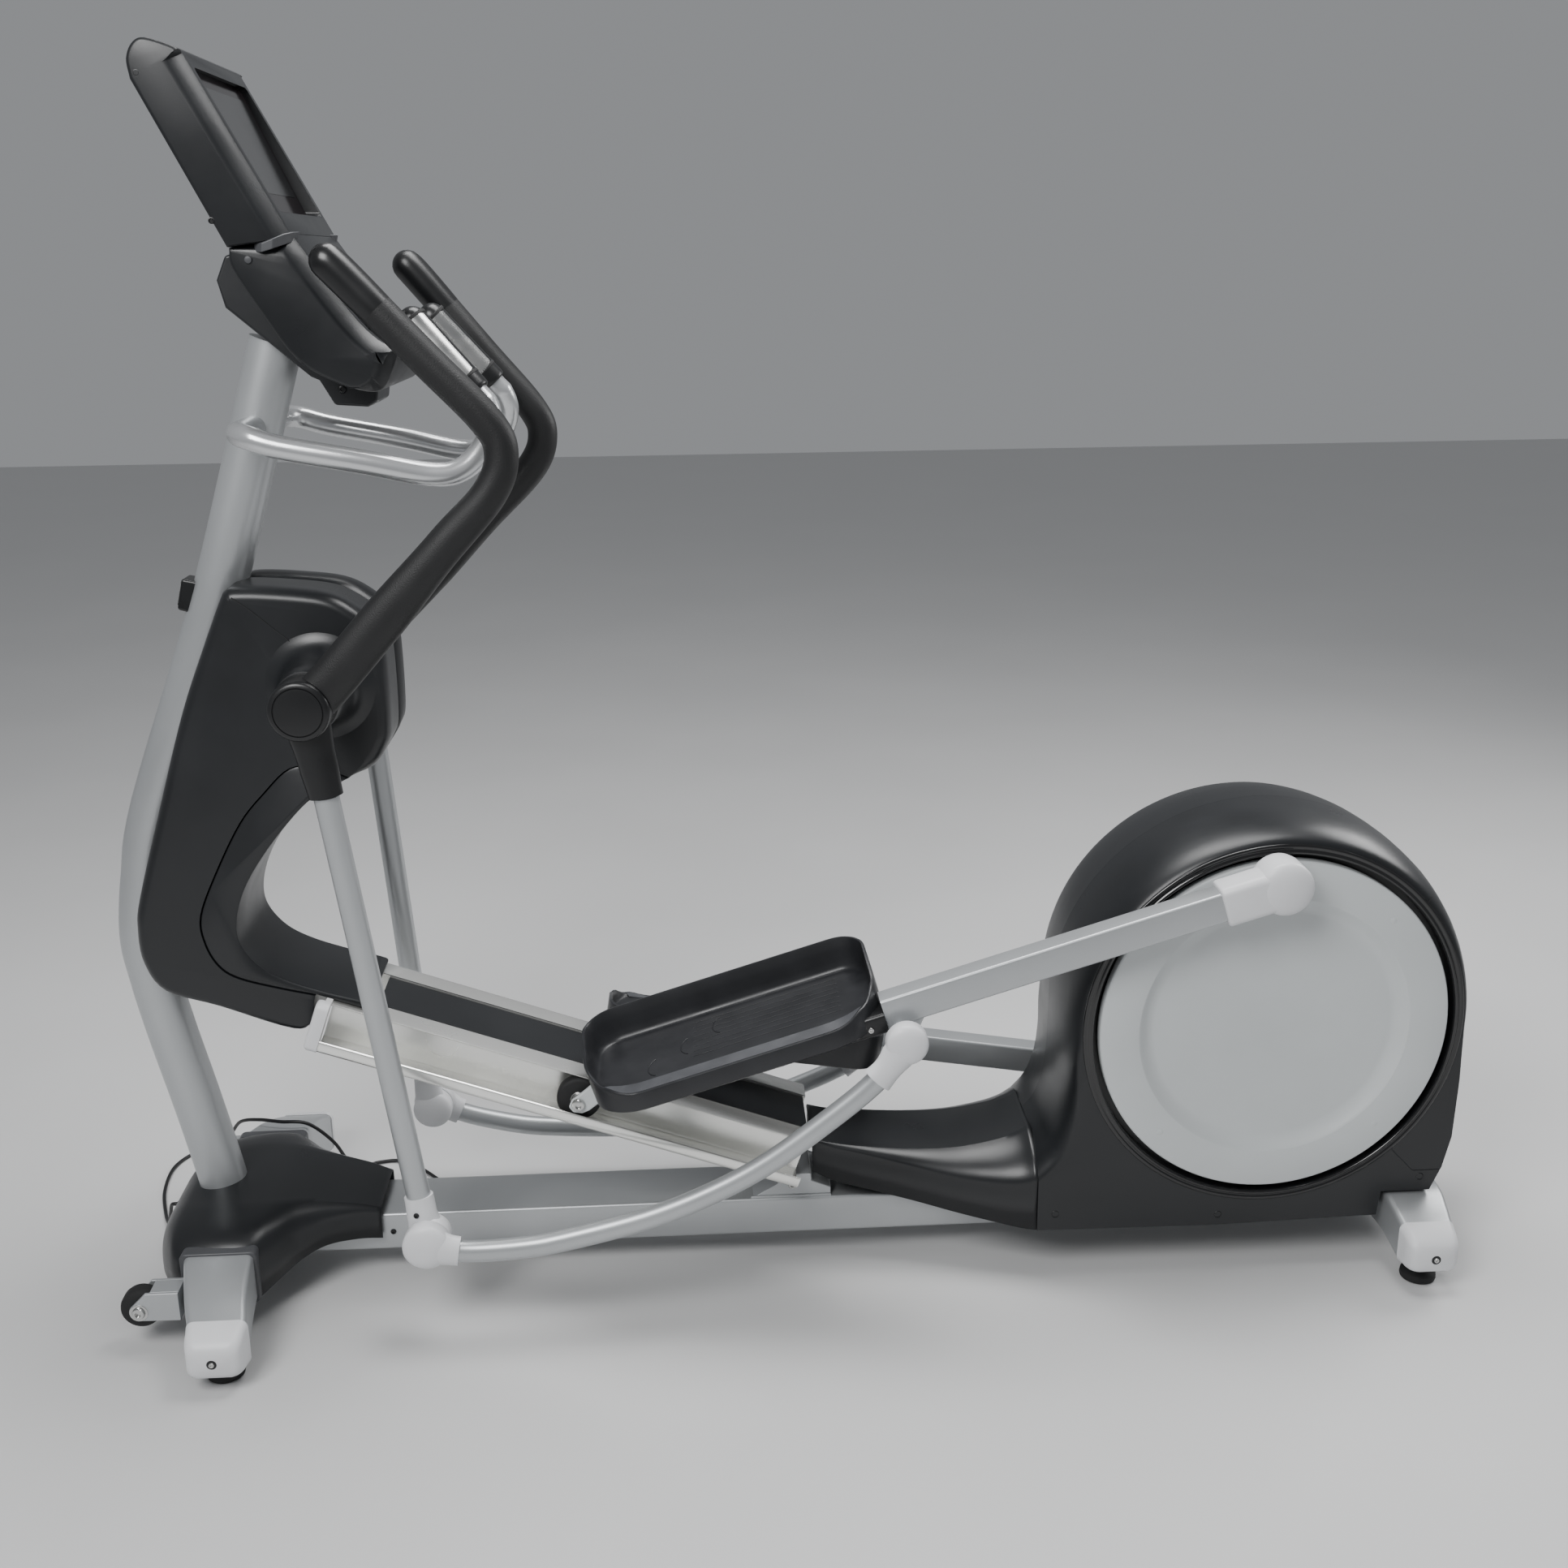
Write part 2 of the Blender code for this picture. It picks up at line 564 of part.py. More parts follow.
bracket = wheel_bracket()
mirrored(bracket, "wheel_bracket_right")
wheel_pivot = pivot_at("wheel_left_axis", WHEEL_AXIS.x, -0.217, WHEEL_AXIS.y)
wheel_shape = [(0, -0.2318), (0.009, -0.2318), (0.009, -0.230), (0.026, -0.2295), (WHEEL_R, -0.226),
               (WHEEL_R, -0.208), (0.026, -0.2045), (0.009, -0.204), (0.009, -0.2022), (0.0037, -0.2022),
               (0.0037, -0.197), (0, -0.197)]
wheel = turned("transport_wheel_left", WHEEL_AXIS, wheel_shape, rubber, wheel_pivot, 20)
mirrored(wheel, "transport_wheel_right",
         pivot_at("wheel_right_axis", WHEEL_AXIS.x, 0.217, WHEEL_AXIS.y))


# ---------------------------------------------------------------- ramp and rails
def on_rail(s, n):
    """Side-view point: s up the slope from the rear end, n above the rail's top edge."""
    return (RAIL_REAR.x - s * cos(RAIL_SLOPE) + n * sin(RAIL_SLOPE),
            RAIL_REAR.y + s * sin(RAIL_SLOPE) + n * cos(RAIL_SLOPE))


def along_rail(name, section, s0, s1, skin):
    """Extrusion along the slope; section is a loop of (y, n) pairs."""
    ends = []
    for s in (s0, s1):
        ends.append([(on_rail(s, n)[0], y, on_rail(s, n)[1]) for y, n in section])
    return loft(name, ends, skin)


def rail():
    """Extruded C-section whose floor carries the roller."""
    outer, lip = -RAIL_OUT - 0.0015, -0.058
    section = [(-RAIL_IN, 0), (-0.097, 0), (-0.0985, -0.0012), (-0.097, -0.0024),
               (-RAIL_IN - 0.004, -0.0024), (-RAIL_IN - 0.004, -0.0710), (outer + 0.005, -0.0710),
               (outer + 0.005, lip), (outer + 0.0025, lip + 0.002), (outer, lip),
               (outer, -0.069), (outer + 0.002, -0.0735), (outer + 0.006, -RAIL_H),
               (-RAIL_IN, -RAIL_H)]
    return along_rail("rail_left", section, 0, RAIL_LENGTH, alloy)


def ramp_cover():
    """Dark channel that closes the space between the two rails."""
    half = RAIL_IN - GAP
    section = [(-half, -0.002), (half, -0.002), (half, -0.062), (half - 0.003, -0.062),
               (half - 0.003, -0.005), (-half + 0.003, -0.005), (-half + 0.003, -0.062),
               (-half, -0.062)]
    return along_rail("ramp_cover", section, 0.004, 0.688, black)


def rail_cap():
    """Pale plug on the front end of a rail."""
    outer = rounded((-0.115, -0.077), (-0.0885, 0.002), 0.010)
    cap = along_rail("rail_cap_left", outer, RAIL_LENGTH + GAP, RAIL_LENGTH + 0.020, white)
    return soften(cap, 0.004, 2, 60)


left_rail = rail()
mirrored(left_rail, "rail_right")
ramp_cover()
left_cap = rail_cap()
mirrored(left_cap, "rail_cap_right")


# ---------------------------------------------------------------- console and handrail
CONSOLE_HALF = 0.167
CONSOLE_SIDE = [(-0.717, 1.545), (-0.640, 1.561), (-0.750, 1.772), (-0.757, 1.779), (-0.79, 1.789),
                (-0.806, 1.783), (-0.815, 1.765), (-0.813, 1.742)]
SCREEN_TOP, SCREEN_BOTTOM = Vector((-0.7545, 1.757)), Vector((-0.6775, 1.588))
POD_SIDE = [(-0.7165, 1.5445), (-0.7145, 1.52), (-0.682, 1.463), (-0.643, 1.405), (-0.591, 1.374),
            (-0.554, 1.364), (-0.536, 1.373), (-0.520, 1.407), (-0.522, 1.420), (-0.542, 1.430),
            (-0.575, 1.466), (-0.6395, 1.5605)]
WEDGE = [(-0.763, 1.505), (-0.755, 1.47), (-0.651, 1.379), (-0.640, 1.374), (-0.622, 1.341),
         (-0.578, 1.338), (-0.565, 1.345), (-0.560, 1.38), (-0.66, 1.50), (-0.7167, 1.5435),
         (-0.749, 1.536)]


def console_shell():
    shell = prism("console_shell", CONSOLE_SIDE, -CONSOLE_HALF, CONSOLE_HALF, black)
    soften(shell, 0.008, 2, 50)
    down = (SCREEN_BOTTOM - SCREEN_TOP).normalized()
    out = Vector((-down.y, down.x))
    recess = [tuple(SCREEN_TOP), tuple(SCREEN_BOTTOM), tuple(SCREEN_BOTTOM + out * 0.06),
              tuple(SCREEN_TOP + out * 0.06)]
    cavity = [tuple(SCREEN_TOP + down * 0.012), tuple(SCREEN_BOTTOM - down * 0.012),
              tuple(SCREEN_BOTTOM - down * 0.012 - out * 0.022), tuple(SCREEN_TOP - out * 0.034)]
    return cut(shell, prism("recess", recess, -0.135, 0.135, black),
               prism("cavity", cavity, -0.123, 0.123, black))


def console_screen():
    down = (SCREEN_BOTTOM - SCREEN_TOP).normalized()
    out = Vector((-down.y, down.x))
    top, bottom = SCREEN_TOP + down * GAP, SCREEN_BOTTOM - down * GAP
    plate = [tuple(top + out * GAP), tuple(bottom + out * GAP), tuple(bottom + out * 0.004),
             tuple(top + out * 0.004)]
    return prism("console_screen", plate, -0.1345, 0.1345, glass)


def console_pod():
    """Control pod under the screen with its tray, and the wedge that clamps the upright."""
    sections = []
    for y, shrink in ((-0.150, 0.10), (-0.140, 0.03), (-0.11, 0.0), (0.11, 0.0), (0.140, 0.03),
                      (0.150, 0.10)):
        middle = Vector((-0.64, 1.50))
        sections.append([((x - middle.x) * (1 - shrink) + middle.x, y,
                          (z - middle.y) * (1 - shrink) + middle.y) for x, z in POD_SIDE])
    pod = loft("console_pod", sections, black)
    join(pod, prism("wedge", WEDGE, -0.052, 0.052, black))
    tray = prism("tray", [(-0.632, 1.514), (-0.560, 1.405), (-0.46, 1.47), (-0.56, 1.60)],
                 -0.118, 0.118, black)
    neck = swept("neck", [(-0.7601, 1.2533), (-0.7035, 1.4255)], 0, TUBE_R + 0.001, TUBE_R + 0.001,
                 black, steps=24)
    return cut(pod, tray, neck)


def handrail():
    """One bent tube: grip, side bar, cross bar through the upright, side bar, grip."""
    left = [(-0.737, -0.045, 1.312), (-0.737, -0.100, 1.312), (-0.733, -0.135, 1.312),
            (-0.714, -0.160, 1.309), (-0.675, -0.165, 1.297), (-0.568, -0.162, 1.276),
            (-0.484, -0.154, 1.258), (-0.445, -0.145, 1.263), (-0.418, -0.132, 1.288),
            (-0.407, -0.120, 1.318), (-0.412, -0.110, 1.343), (-0.424, -0.106, 1.358),
            (-0.503, -0.092, 1.450)]
    right = [(x, -y, z) for x, y, z in reversed(left)]
    path = smooth(right + left, 2)
    return pipe("handrail", path, HANDRAIL_R, silver, resolution=3)


console_shell()
console_screen()
console_pod()
handrail()
paddle_pivot = pivot_at("paddle_axis", -0.590, 0, 1.470)
paddle = prism("control_paddle", [(-0.606, 1.4795), (-0.5745, 1.4385), (-0.562, 1.452), (-0.577, 1.480),
                                  (-0.592, 1.494)], -0.060, 0.060, white, paddle_pivot)
soften(paddle, 0.003, 2, 60)
sensor = prism("sensor_pod", [(-0.8725, 1.060), (-0.846, 1.052), (-0.829, 1.097), (-0.862, 1.104)],
               -0.020, 0.020, black)
soften(sensor, 0.004, 2, 60)
cut(sensor, tube_clearance())


# ---------------------------------------------------------------- rear drive
SHROUD_Y = 0.140
SIDE_R = 0.292                  # round edge of the flat side
CROWN_R = 0.321                 # crown over the middle plane


def shroud_outline(radius):
    """Side view of the rear cover at one depth; only the round crown changes with depth."""
    crown = []
    for step in range(19):
        angle = radians(-2 + 160 * step / 18)
        swell = min(1.0, 0.55 + 0.45 * max(0.0, angle) / radians(40))
        reach = SIDE_R + (radius - SIDE_R) * swell
        crown.append((CRANK.x + reach * cos(angle), CRANK.y + reach * sin(angle)))
    base = [(0.3575, 0.083), (0.641, 0.080), (0.891, 0.086), (0.8955, 0.1265), (0.972, 0.1265),
            (0.988, 0.165), (0.999, 0.217), (1.0015, 0.314)]
    return base + crown + [(0.390, 0.47), (0.368, 0.40), (0.3575, 0.33)]


def rear_cover():
    """Left half of the crank cover: crowned rim, flat side with the round disc opening."""
    stations = [(-GAP / 2, CROWN_R), (-0.05, CROWN_R - 0.002), (-0.09, CROWN_R - 0.007),
                (-0.118, CROWN_R - 0.014), (-0.132, CROWN_R - 0.021), (-SHROUD_Y, SIDE_R)]
    outer = loft("rear_cover_left", [[(x, y, z) for x, z in shroud_outline(r)] for y, r in stations],
                 black)
    inside = [(0.01, CROWN_R - 0.005)] + [(max(y, -SHROUD_Y + WALL), r - 0.005) for y, r in stations]
    hollow = loft("hollow", [[(x, y, z) for x, z in offset(shroud_outline(r), WALL)]
                             for y, r in inside], black)
    return cut(outer, hollow, rod("opening", CRANK, 0.275, -0.2, -0.1, black, steps=48),
               box("beam", (0.3, -0.0556, 0.0), (0.93, 0.0556, BEAM_TOP + 0.0006), black))


def nose_cover():
    """Dished cover that runs from the rails to the crank cover, over the beam."""
    stations = [(0.016, 0.058, 0.156, 0.212), (0.05, 0.060, 0.140, 0.203), (0.10, 0.066, 0.128, 0.197),
                (0.17, 0.078, 0.113, 0.197), (0.24, 0.096, 0.098, 0.205), (0.30, 0.116, 0.088, 0.225),
                (0.335, 0.129, 0.083, 0.247), (0.3570, 0.136, 0.083, 0.270)]

    def section(x, half, bottom, top, rim):
        dish = 0.10 * (half - 0.045)
        spread = [1, 0.985, 0.93, 0.7, 0.35, 0, -0.35, -0.7, -0.93, -0.985, -1]
        level = [-0.012, -0.004, 0, -0.3 * dish, -0.8 * dish, -dish]
        level = level + level[-2::-1]
        line = [(x, half * k, top + rim + v) for k, v in zip(spread, level)]
        return line + [(x, -half, bottom), (x, half, bottom)]

    cover = loft("nose_cover", [section(*s, 0) for s in stations], black)
    inner = [section(x, half - WALL, bottom - 0.05, top, -WALL)
             for x, half, bottom, top in stations[1:]]
    inner[-1] = [(0.37, y, z) for _, y, z in inner[-1]]
    return cut(cover, loft("hollow", inner, black),
               box("beam", (-0.1, -0.0556, 0.0), (0.5, 0.0556, BEAM_TOP + 0.0006), black))


left_cover = rear_cover()
mirrored(left_cover, "rear_cover_right")
nose_cover()
crank_pivot = pivot_at("crank_axis", CRANK.x, 0, CRANK.y)
pulley_shape = [(0, -0.1215), (0.0125, -0.1215), (0.0125, -0.0305), (0.045, -0.030), (0.045, -0.010),
                (0.142, -0.010), (0.150, -0.012), (0.150, 0.012), (0.142, 0.010), (0.045, 0.010),
                (0.045, 0.030), (0.0125, 0.0305), (0.0125, 0.1215), (0, 0.1215)]
turned("crank_pulley", CRANK, pulley_shape, steel, crank_pivot, 24)


def crank_disc(pin):
    """Round crank cover with a raised middle and the stub of the crank pin."""
    face, back = DISC_Y
    shape = [(0, face - 0.002), (0.196, face - 0.002), (0.206, face), (DISC_R - 0.004, face),
             (DISC_R, face + 0.004), (DISC_R, back), (0.05, back), (0.05, back + 0.0020), (0, back + 0.0020)]
    disc = turned("crank_disc", CRANK, shape, disc_grey, crank_pivot, 44)
    return join(disc, rod("pin", pin, 0.012, face - 0.0065, face + 0.005, steel, steps=16))


left_disc = crank_disc(CRANK_PIN)
left_disc.name = "crank_disc_left"
twin(left_disc, "crank_disc_right", CRANK, CRANK, pi, crank_pivot)
fly_pivot = pivot_at("flywheel_axis", FLYWHEEL.x, 0, FLYWHEEL.y)
fly_shape = [(0, -0.0605), (0.010, -0.0605), (0.010, -0.0385), (0.098, -0.038), (0.100, -0.036),
             (0.100, -0.019), (0.098, -0.017), (0.020, -0.0165), (0.020, 0.0125), (0.010, 0.013),
             (0.010, 0.0605), (0, 0.0605)]
turned("flywheel", FLYWHEEL, fly_shape, steel, fly_pivot, 24)


def drive_belt():
    """Flat belt around the crank pulley and the small flywheel pulley."""
    big, small, thick = 0.150 + GAP, 0.020 + GAP, 0.003
    span = CRANK - FLYWHEEL
    tilt = atan2(span.y, span.x)
    open_angle = acos((big - small) / span.length)

    def loop(extra):
        start = tilt - (pi - open_angle)
        rear = [CRANK + Vector((cos(a), sin(a))) * (big + extra)
                for a in [start + 2 * (pi - open_angle) * i / 32 for i in range(33)]]
        front = [FLYWHEEL + Vector((cos(a), sin(a))) * (small + extra)
                 for a in [tilt + (pi - open_angle) + 2 * open_angle * i / 10 for i in range(11)]]
        return [tuple(p) for p in rear + front]

    belt = prism("drive_belt", loop(thick), -0.0095, 0.0095, rubber)
    return cut(belt, prism("hollow", loop(0), -0.02, 0.02, rubber))


drive_belt()


# ---------------------------------------------------------------- foot arms and pedals
def on_arm(u, n):
    """Side-view point in the pedal's frame: u towards the rear, n up from it."""
    return (-0.338 + u * cos(ARM_PITCH) - n * sin(ARM_PITCH),
            0.344 + u * sin(ARM_PITCH) + n * cos(ARM_PITCH))


def arm_box(name, low, high, skin):
    """Box in the pedal's frame; corners are (u, y, n)."""
    outline = [on_arm(low[0], low[2]), on_arm(high[0], low[2]), on_arm(high[0], high[2]),
               on_arm(low[0], high[2])]
    return prism(name, outline, low[1], high[1], skin)


def arm_plan(name, outline, n0, n1, skin):
    """Prism in the pedal's frame along n; the outline is (u, y) pairs."""
    return loft(name, [[(on_arm(u, n)[0], y, on_arm(u, n)[1]) for u, y in outline]
                       for n in (n0, n1)], skin)


def foot_arm(pivot):
    """Box tube with the crank hub, the roller bracket, the pedal plate and the link lug."""
    hub_u = (CRANK_PIN - Vector(on_arm(0, 0))).length
    tube = arm_box("foot_arm_left", (0.4706, ARM_Y[0], -ARM_H / 2), (hub_u, ARM_Y[1], ARM_H / 2), silver)
    soften(tube, 0.003, 1, 60)
    sleeve = arm_box("sleeve", (hub_u - 0.085, ARM_Y[0] - 0.004, -ARM_H / 2 - 0.004),
                     (hub_u, ARM_Y[1] + 0.004, ARM_H / 2 + 0.004), white)
    soften(sleeve, 0.005, 2, 60)
    hub = rod("hub", CRANK_PIN, 0.036, -0.212, -0.1495, white, steps=24)
    soften(hub, 0.006, 1, 60)
    plate = arm_box("plate", (0.040, -0.180, -0.022), (0.50, -0.127, -0.0035), silver)
    arm = arm_box("arm", (0.0368, -0.15, -0.020), (0.060, -0.1085, -0.0040), silver)
    side = prism("side", [on_arm(0.05, -0.02), on_arm(0.05, 0.005), on_arm(0.005, -0.012),
                          on_arm(-0.022, -0.022), on_arm(-0.022, -0.034), on_arm(0.0, -0.044)],
                 -0.1175, -0.1095, silver)
    lug_top = LINK_REAR + Vector((0.0, 0.022))
    lug = prism("lug", [(LINK_REAR.x - 0.030, lug_top.y - 0.010), (LINK_REAR.x - 0.014, LINK_REAR.y - 0.010),
                        (LINK_REAR.x + 0.014, LINK_REAR.y - 0.010), (LINK_REAR.x + 0.034, lug_top.y + 0.010)],
                -0.197, -0.175, silver)
    pin = rod("pin", LINK_REAR, 0.010, -0.2445, -0.18, steel)
    boss = rod("boss", LINK_REAR, 0.015, -0.2195, -0.18, silver)
    join(tube, sleeve, hub, plate, arm, side, lug, boss, pin)
    cut(tube, rod("bore", ROLLER_AXIS, 0.0063, -0.14, -0.09, silver),
        rod("bore", CRANK_PIN, 0.0125, -0.190, -0.14, silver))
    hang(tube, pivot)
    return tube


def pedal(pivot):
    """Foot tray with a high inner wall, a low outer lip and a thicker outer half."""
    plan = rounded((0.030, -0.225), (0.470, -0.025), 0.045, 5)
    tray = arm_plan("pedal_left", plan, 0.0100, 0.074, black)
    outer_half = arm_plan("outer half", rounded((0.0305, -0.2245), (0.4695, -0.122), 0.043, 4),
                          -0.003, 0.014, black)
    join(tray, outer_half)
    well = arm_plan("well", offset(plan, 0.006), 0.020, 0.09, black)
    rim = [(-0.30, 0.0), (-0.226, 0.005), (-0.206, 0.019), (-0.165, 0.036), (-0.11, 0.055),
           (-0.06, 0.067), (0.02, 0.0705), (0.02, 0.2), (-0.30, 0.2)]
    rake = loft("rake", [[(on_arm(u, n)[0], y, on_arm(u, n)[1]) for y, n in rim]
                         for u in (-0.05, 0.55)], black)
    cut(tray, well, rake)
    hang(tray, pivot)
    return tray


def roller(pivot):
    wheel = turned("roller_left", ROLLER_AXIS,
                   [(0, -0.1045), (0.012, -0.1045), (0.012, -0.1025), (0.030, -0.1025), (ROLLER_R, -0.099),
                    (ROLLER_R, -0.083), (0.030, -0.0795), (0.012, -0.0795), (0.012, -0.0780), (0, -0.0780)],
                   rubber, None, 22)
    cut(wheel, rod("bore", ROLLER_AXIS, 0.0063, -0.2, 0, rubber))
    hang(wheel, pivot)
    return wheel


def roller_axle(pivot):
    shape = [(0, -0.1230), (0.010, -0.1230), (0.010, -0.1180), (0.006, -0.1180), (0.006, -0.0775),
             (0.009, -0.0775), (0.009, -0.0735), (0, -0.0735)]
    return turned("roller_axle_left", ROLLER_AXIS, shape, steel, pivot, 20)


def link(pivot):
    """Bent round tube with an eye at both ends, outboard of the arm and the swing arm."""
    bends = [LINK_FRONT, (-0.503, 0.148), (-0.42, 0.150), (-0.355, 0.160), (-0.235, 0.190),
             (-0.139, 0.228), (-0.055, 0.275), (0.039, 0.346), (0.098, 0.398), LINK_REAR]
    path = flat_smooth(bends, 2)
    tube = swept("link_left", path, LINK_Y, 0.0165, 0.0140, silver, steps=12)
    eyes = []
    for centre in (LINK_FRONT, LINK_REAR):
        eye = rod("eye", centre, 0.028, -0.2515, -0.2205, white, steps=20)
        eyes.append(soften(eye, 0.005, 1, 60))
    sleeves = [swept("sleeve", path[:4], LINK_Y, 0.0205, 0.0152, white, steps=12),
               swept("sleeve", path[-4:], LINK_Y, 0.0205, 0.0152, white, steps=12)]
    join(tube, *eyes, *sleeves)
    cut(tube, rod("bore", LINK_REAR, 0.0103, -0.2455, -0.2, steel))
    hang(tube, pivot)
    return tube


def lower_tube(pivot):
    """Silver swing tube with the pale elbow that carries the front eye."""
    top, low = Vector((-0.6483, 0.8345)), Vector((-0.568, 0.215))
    tube = swept("lower_tube_left", [top, low, low * 1.15 - top * 0.15 + Vector((0.008, 0))], SWING_Y,
                 0.0175, 0.0142, silver)
    sleeve = swept("sleeve", [low + (top - low) * 0.01, low, LINK_FRONT + Vector((0.004, 0.02)), LINK_FRONT],
                   SWING_Y, [0.019, 0.0205, 0.023, 0.022], 0.0152, white)
    eye = rod("eye", LINK_FRONT, 0.027, -0.2195, -0.186, white, steps=20)
    join(tube, sleeve, soften(eye, 0.006, 1, 60))
    hang(tube, pivot)
    return tube


def handle(pivot):
    """Rubber-covered moving handle with the pivot boss and the socket for the lower tube."""
    bends = [(-0.597, 1.534), (-0.592, 1.529), (-0.575, 1.517), (-0.477, 1.411), (-0.403, 1.331),
             (-0.386, 1.288), (-0.407, 1.237), (-0.453, 1.175), (-0.545, 1.06), (-0.630, 0.978),
             tuple(SWING_PIVOT)]
    path = flat_smooth(bends, 2)
    count = len(path)
    wide = [0.0225 + 0.010 * max(0.0, i / (count - 1) - 0.62) / 0.38 for i in range(count)]
    deep = [0.0225 - 0.003 * max(0.0, i / (count - 1) - 0.62) / 0.38 for i in range(count)]
    wide[:3] = deep[:3] = [0.012, 0.0175, 0.0205]
    grip = swept("handle_left", path, -0.212, wide, deep, rubber, steps=14)
    boss = rod("boss", SWING_PIVOT, 0.044, -0.240, -0.1855, rubber, steps=24)
    soften(boss, 0.006, 1, 60)
    low = Vector((-0.6484, 0.8363))
    socket = swept("socket", [tuple(SWING_PIVOT), tuple(low + (SWING_PIVOT - low) * 0.35), tuple(low)],
                   SWING_Y, [0.033, 0.026, 0.0235], [0.019, 0.0185, 0.018], rubber, steps=14)
    join(grip, boss, socket)
    cut(grip, rod("bore", SWING_PIVOT, SHAFT_R + GAP, -0.2200, -0.1, rubber))
    hang(grip, pivot)
    return grip


def right_pivot(name, spot):
    return pivot_at(name, spot.x, 0.2, spot.y)


roller_r, lift_r, rear_r, link_turn_r, swing_turn_r = right_side()
axle_pivot = pivot_at("roller_left_axis", ROLLER_AXIS.x, -0.09, ROLLER_AXIS.y)
link_pivot = pivot_at("link_left_axis", LINK_REAR.x, LINK_Y, LINK_REAR.y)
swing_pivot = pivot_at("swing_left_axis", SWING_PIVOT.x, SWING_Y, SWING_PIVOT.y)
axle_pivot_r = right_pivot("roller_right_axis", roller_r)
link_pivot_r = right_pivot("link_right_axis", rear_r)
swing_pivot_r = right_pivot("swing_right_axis", SWING_PIVOT)
for build, home, away, old, new, turn in (
        (roller_axle, axle_pivot, axle_pivot_r, ROLLER_AXIS, roller_r, lift_r),
        (roller, axle_pivot, axle_pivot_r, ROLLER_AXIS, roller_r, lift_r),
        (foot_arm, axle_pivot, axle_pivot_r, ROLLER_AXIS, roller_r, lift_r),
        (pedal, axle_pivot, axle_pivot_r, ROLLER_AXIS, roller_r, lift_r),
        (link, link_pivot, link_pivot_r, LINK_REAR, rear_r, link_turn_r),
        (lower_tube, swing_pivot, swing_pivot_r, SWING_PIVOT, SWING_PIVOT, swing_turn_r),
        (handle, swing_pivot, swing_pivot_r, SWING_PIVOT, SWING_PIVOT, swing_turn_r)):
    left = build(home)
    twin(left, left.name.replace("left", "right"), old, new, turn, away)


# ---------------------------------------------------------------- power cord
CORD_R = 0.003
FLOOR = 0.0040                  # centre of the lead where it lies on the floor
CORD_EXIT = Vector((-0.9985, 0.045, 0.0835))
COIL = Vector((-0.440, 0.117, 0.0072))
COIL_R = 0.033                  # middle of the turns


def lying(name, profile, y, z, skin, steps=16):
    """Solid of revolution about an X axis; profile is (x, radius) pairs."""
    sections = [[(x, y + r * cos(2 * pi * i / steps), z + r * sin(2 * pi * i / steps))
                 for i in range(steps)] for x, r in profile]
    return loft(name, sections, skin)


def spaced(points, count):
    """The same number of equal steps along a smooth curve through the points."""
    curve = smooth(points, 8)
    lengths = [0.0]
    for a, b in zip(curve, curve[1:]):
        lengths.append(lengths[-1] + (b - a).length)
    even = []
    for k in range(count):
        goal = lengths[-1] * k / (count - 1)
        i = max(1, next(j for j, run in enumerate(lengths) if run >= goal - 1e-9))
        part = (goal - lengths[i - 1]) / (lengths[i] - lengths[i - 1])
        even.append(curve[i - 1].lerp(curve[i], part))
    return even


def cord_relief():
    """Rubber bushing in the front of the base cover."""
    x = CORD_EXIT.x
    return lying("cord_relief", [(-0.976, 0.0060), (-0.9853, 0.0060), (-0.9853, 0.0090),
                                 (-0.9885, 0.0090), (-0.9885, 0.0055), (x + GAP, 0.0042)],
                 CORD_EXIT.y, CORD_EXIT.z, rubber)


def cord_run():
    """The lead from the bushing, down to the floor, over the right front leg and behind the beam."""
    route = [CORD_EXIT, (-1.0025, 0.045, 0.0835), (-1.010, 0.051, 0.078), (-1.020, 0.070, 0.050),
             (-1.034, 0.100, 0.016), (-1.055, 0.150, FLOOR), (-1.079, 0.228, FLOOR),
             (-1.085, 0.310, FLOOR), (-1.060, 0.362, 0.0045), (-1.015, 0.350, 0.022),
             (-0.975, 0.295, 0.075), (-0.945, 0.255, 0.117), (-0.905, 0.225, 0.1345),
             (-0.865, 0.207, 0.1385), (-0.820, 0.205, 0.134), (-0.785, 0.225, 0.088),
             (-0.768, 0.250, 0.035), (-0.754, 0.281, 0.006), (-0.725, 0.300, FLOOR),
             (-0.680, 0.298, FLOOR), (-0.617, 0.235, FLOOR), (-0.568, 0.150, FLOOR),
             (-0.520, 0.092, FLOOR), (COIL.x - 0.024, COIL.y - COIL_R - 0.006, FLOOR)]
    return pipe("cord_run", route[:1] + spaced(route[1:], 66), CORD_R, black, resolution=2)


def cord_coil():
    """The put-away turns, as one ring."""
    section = rounded((-0.009, -0.0065), (0.009, 0.0065), 0.004, 1)
    bm = bmesh.new()
    steps = 28
    loops = []
    for k in range(steps):
        turn = 2 * pi * k / steps
        loops.append([bm.verts.new((COIL.x + (COIL_R + a) * cos(turn), COIL.y + (COIL_R + a) * sin(turn),
                                    COIL.z + b)) for a, b in section])
    for k in range(steps):
        for i in range(len(section)):
            j = (i + 1) % len(section)
            after = loops[(k + 1) % steps]
            bm.faces.new((loops[k][i], loops[k][j], after[j], after[i]))
    return finish("cord_coil", bm, black)


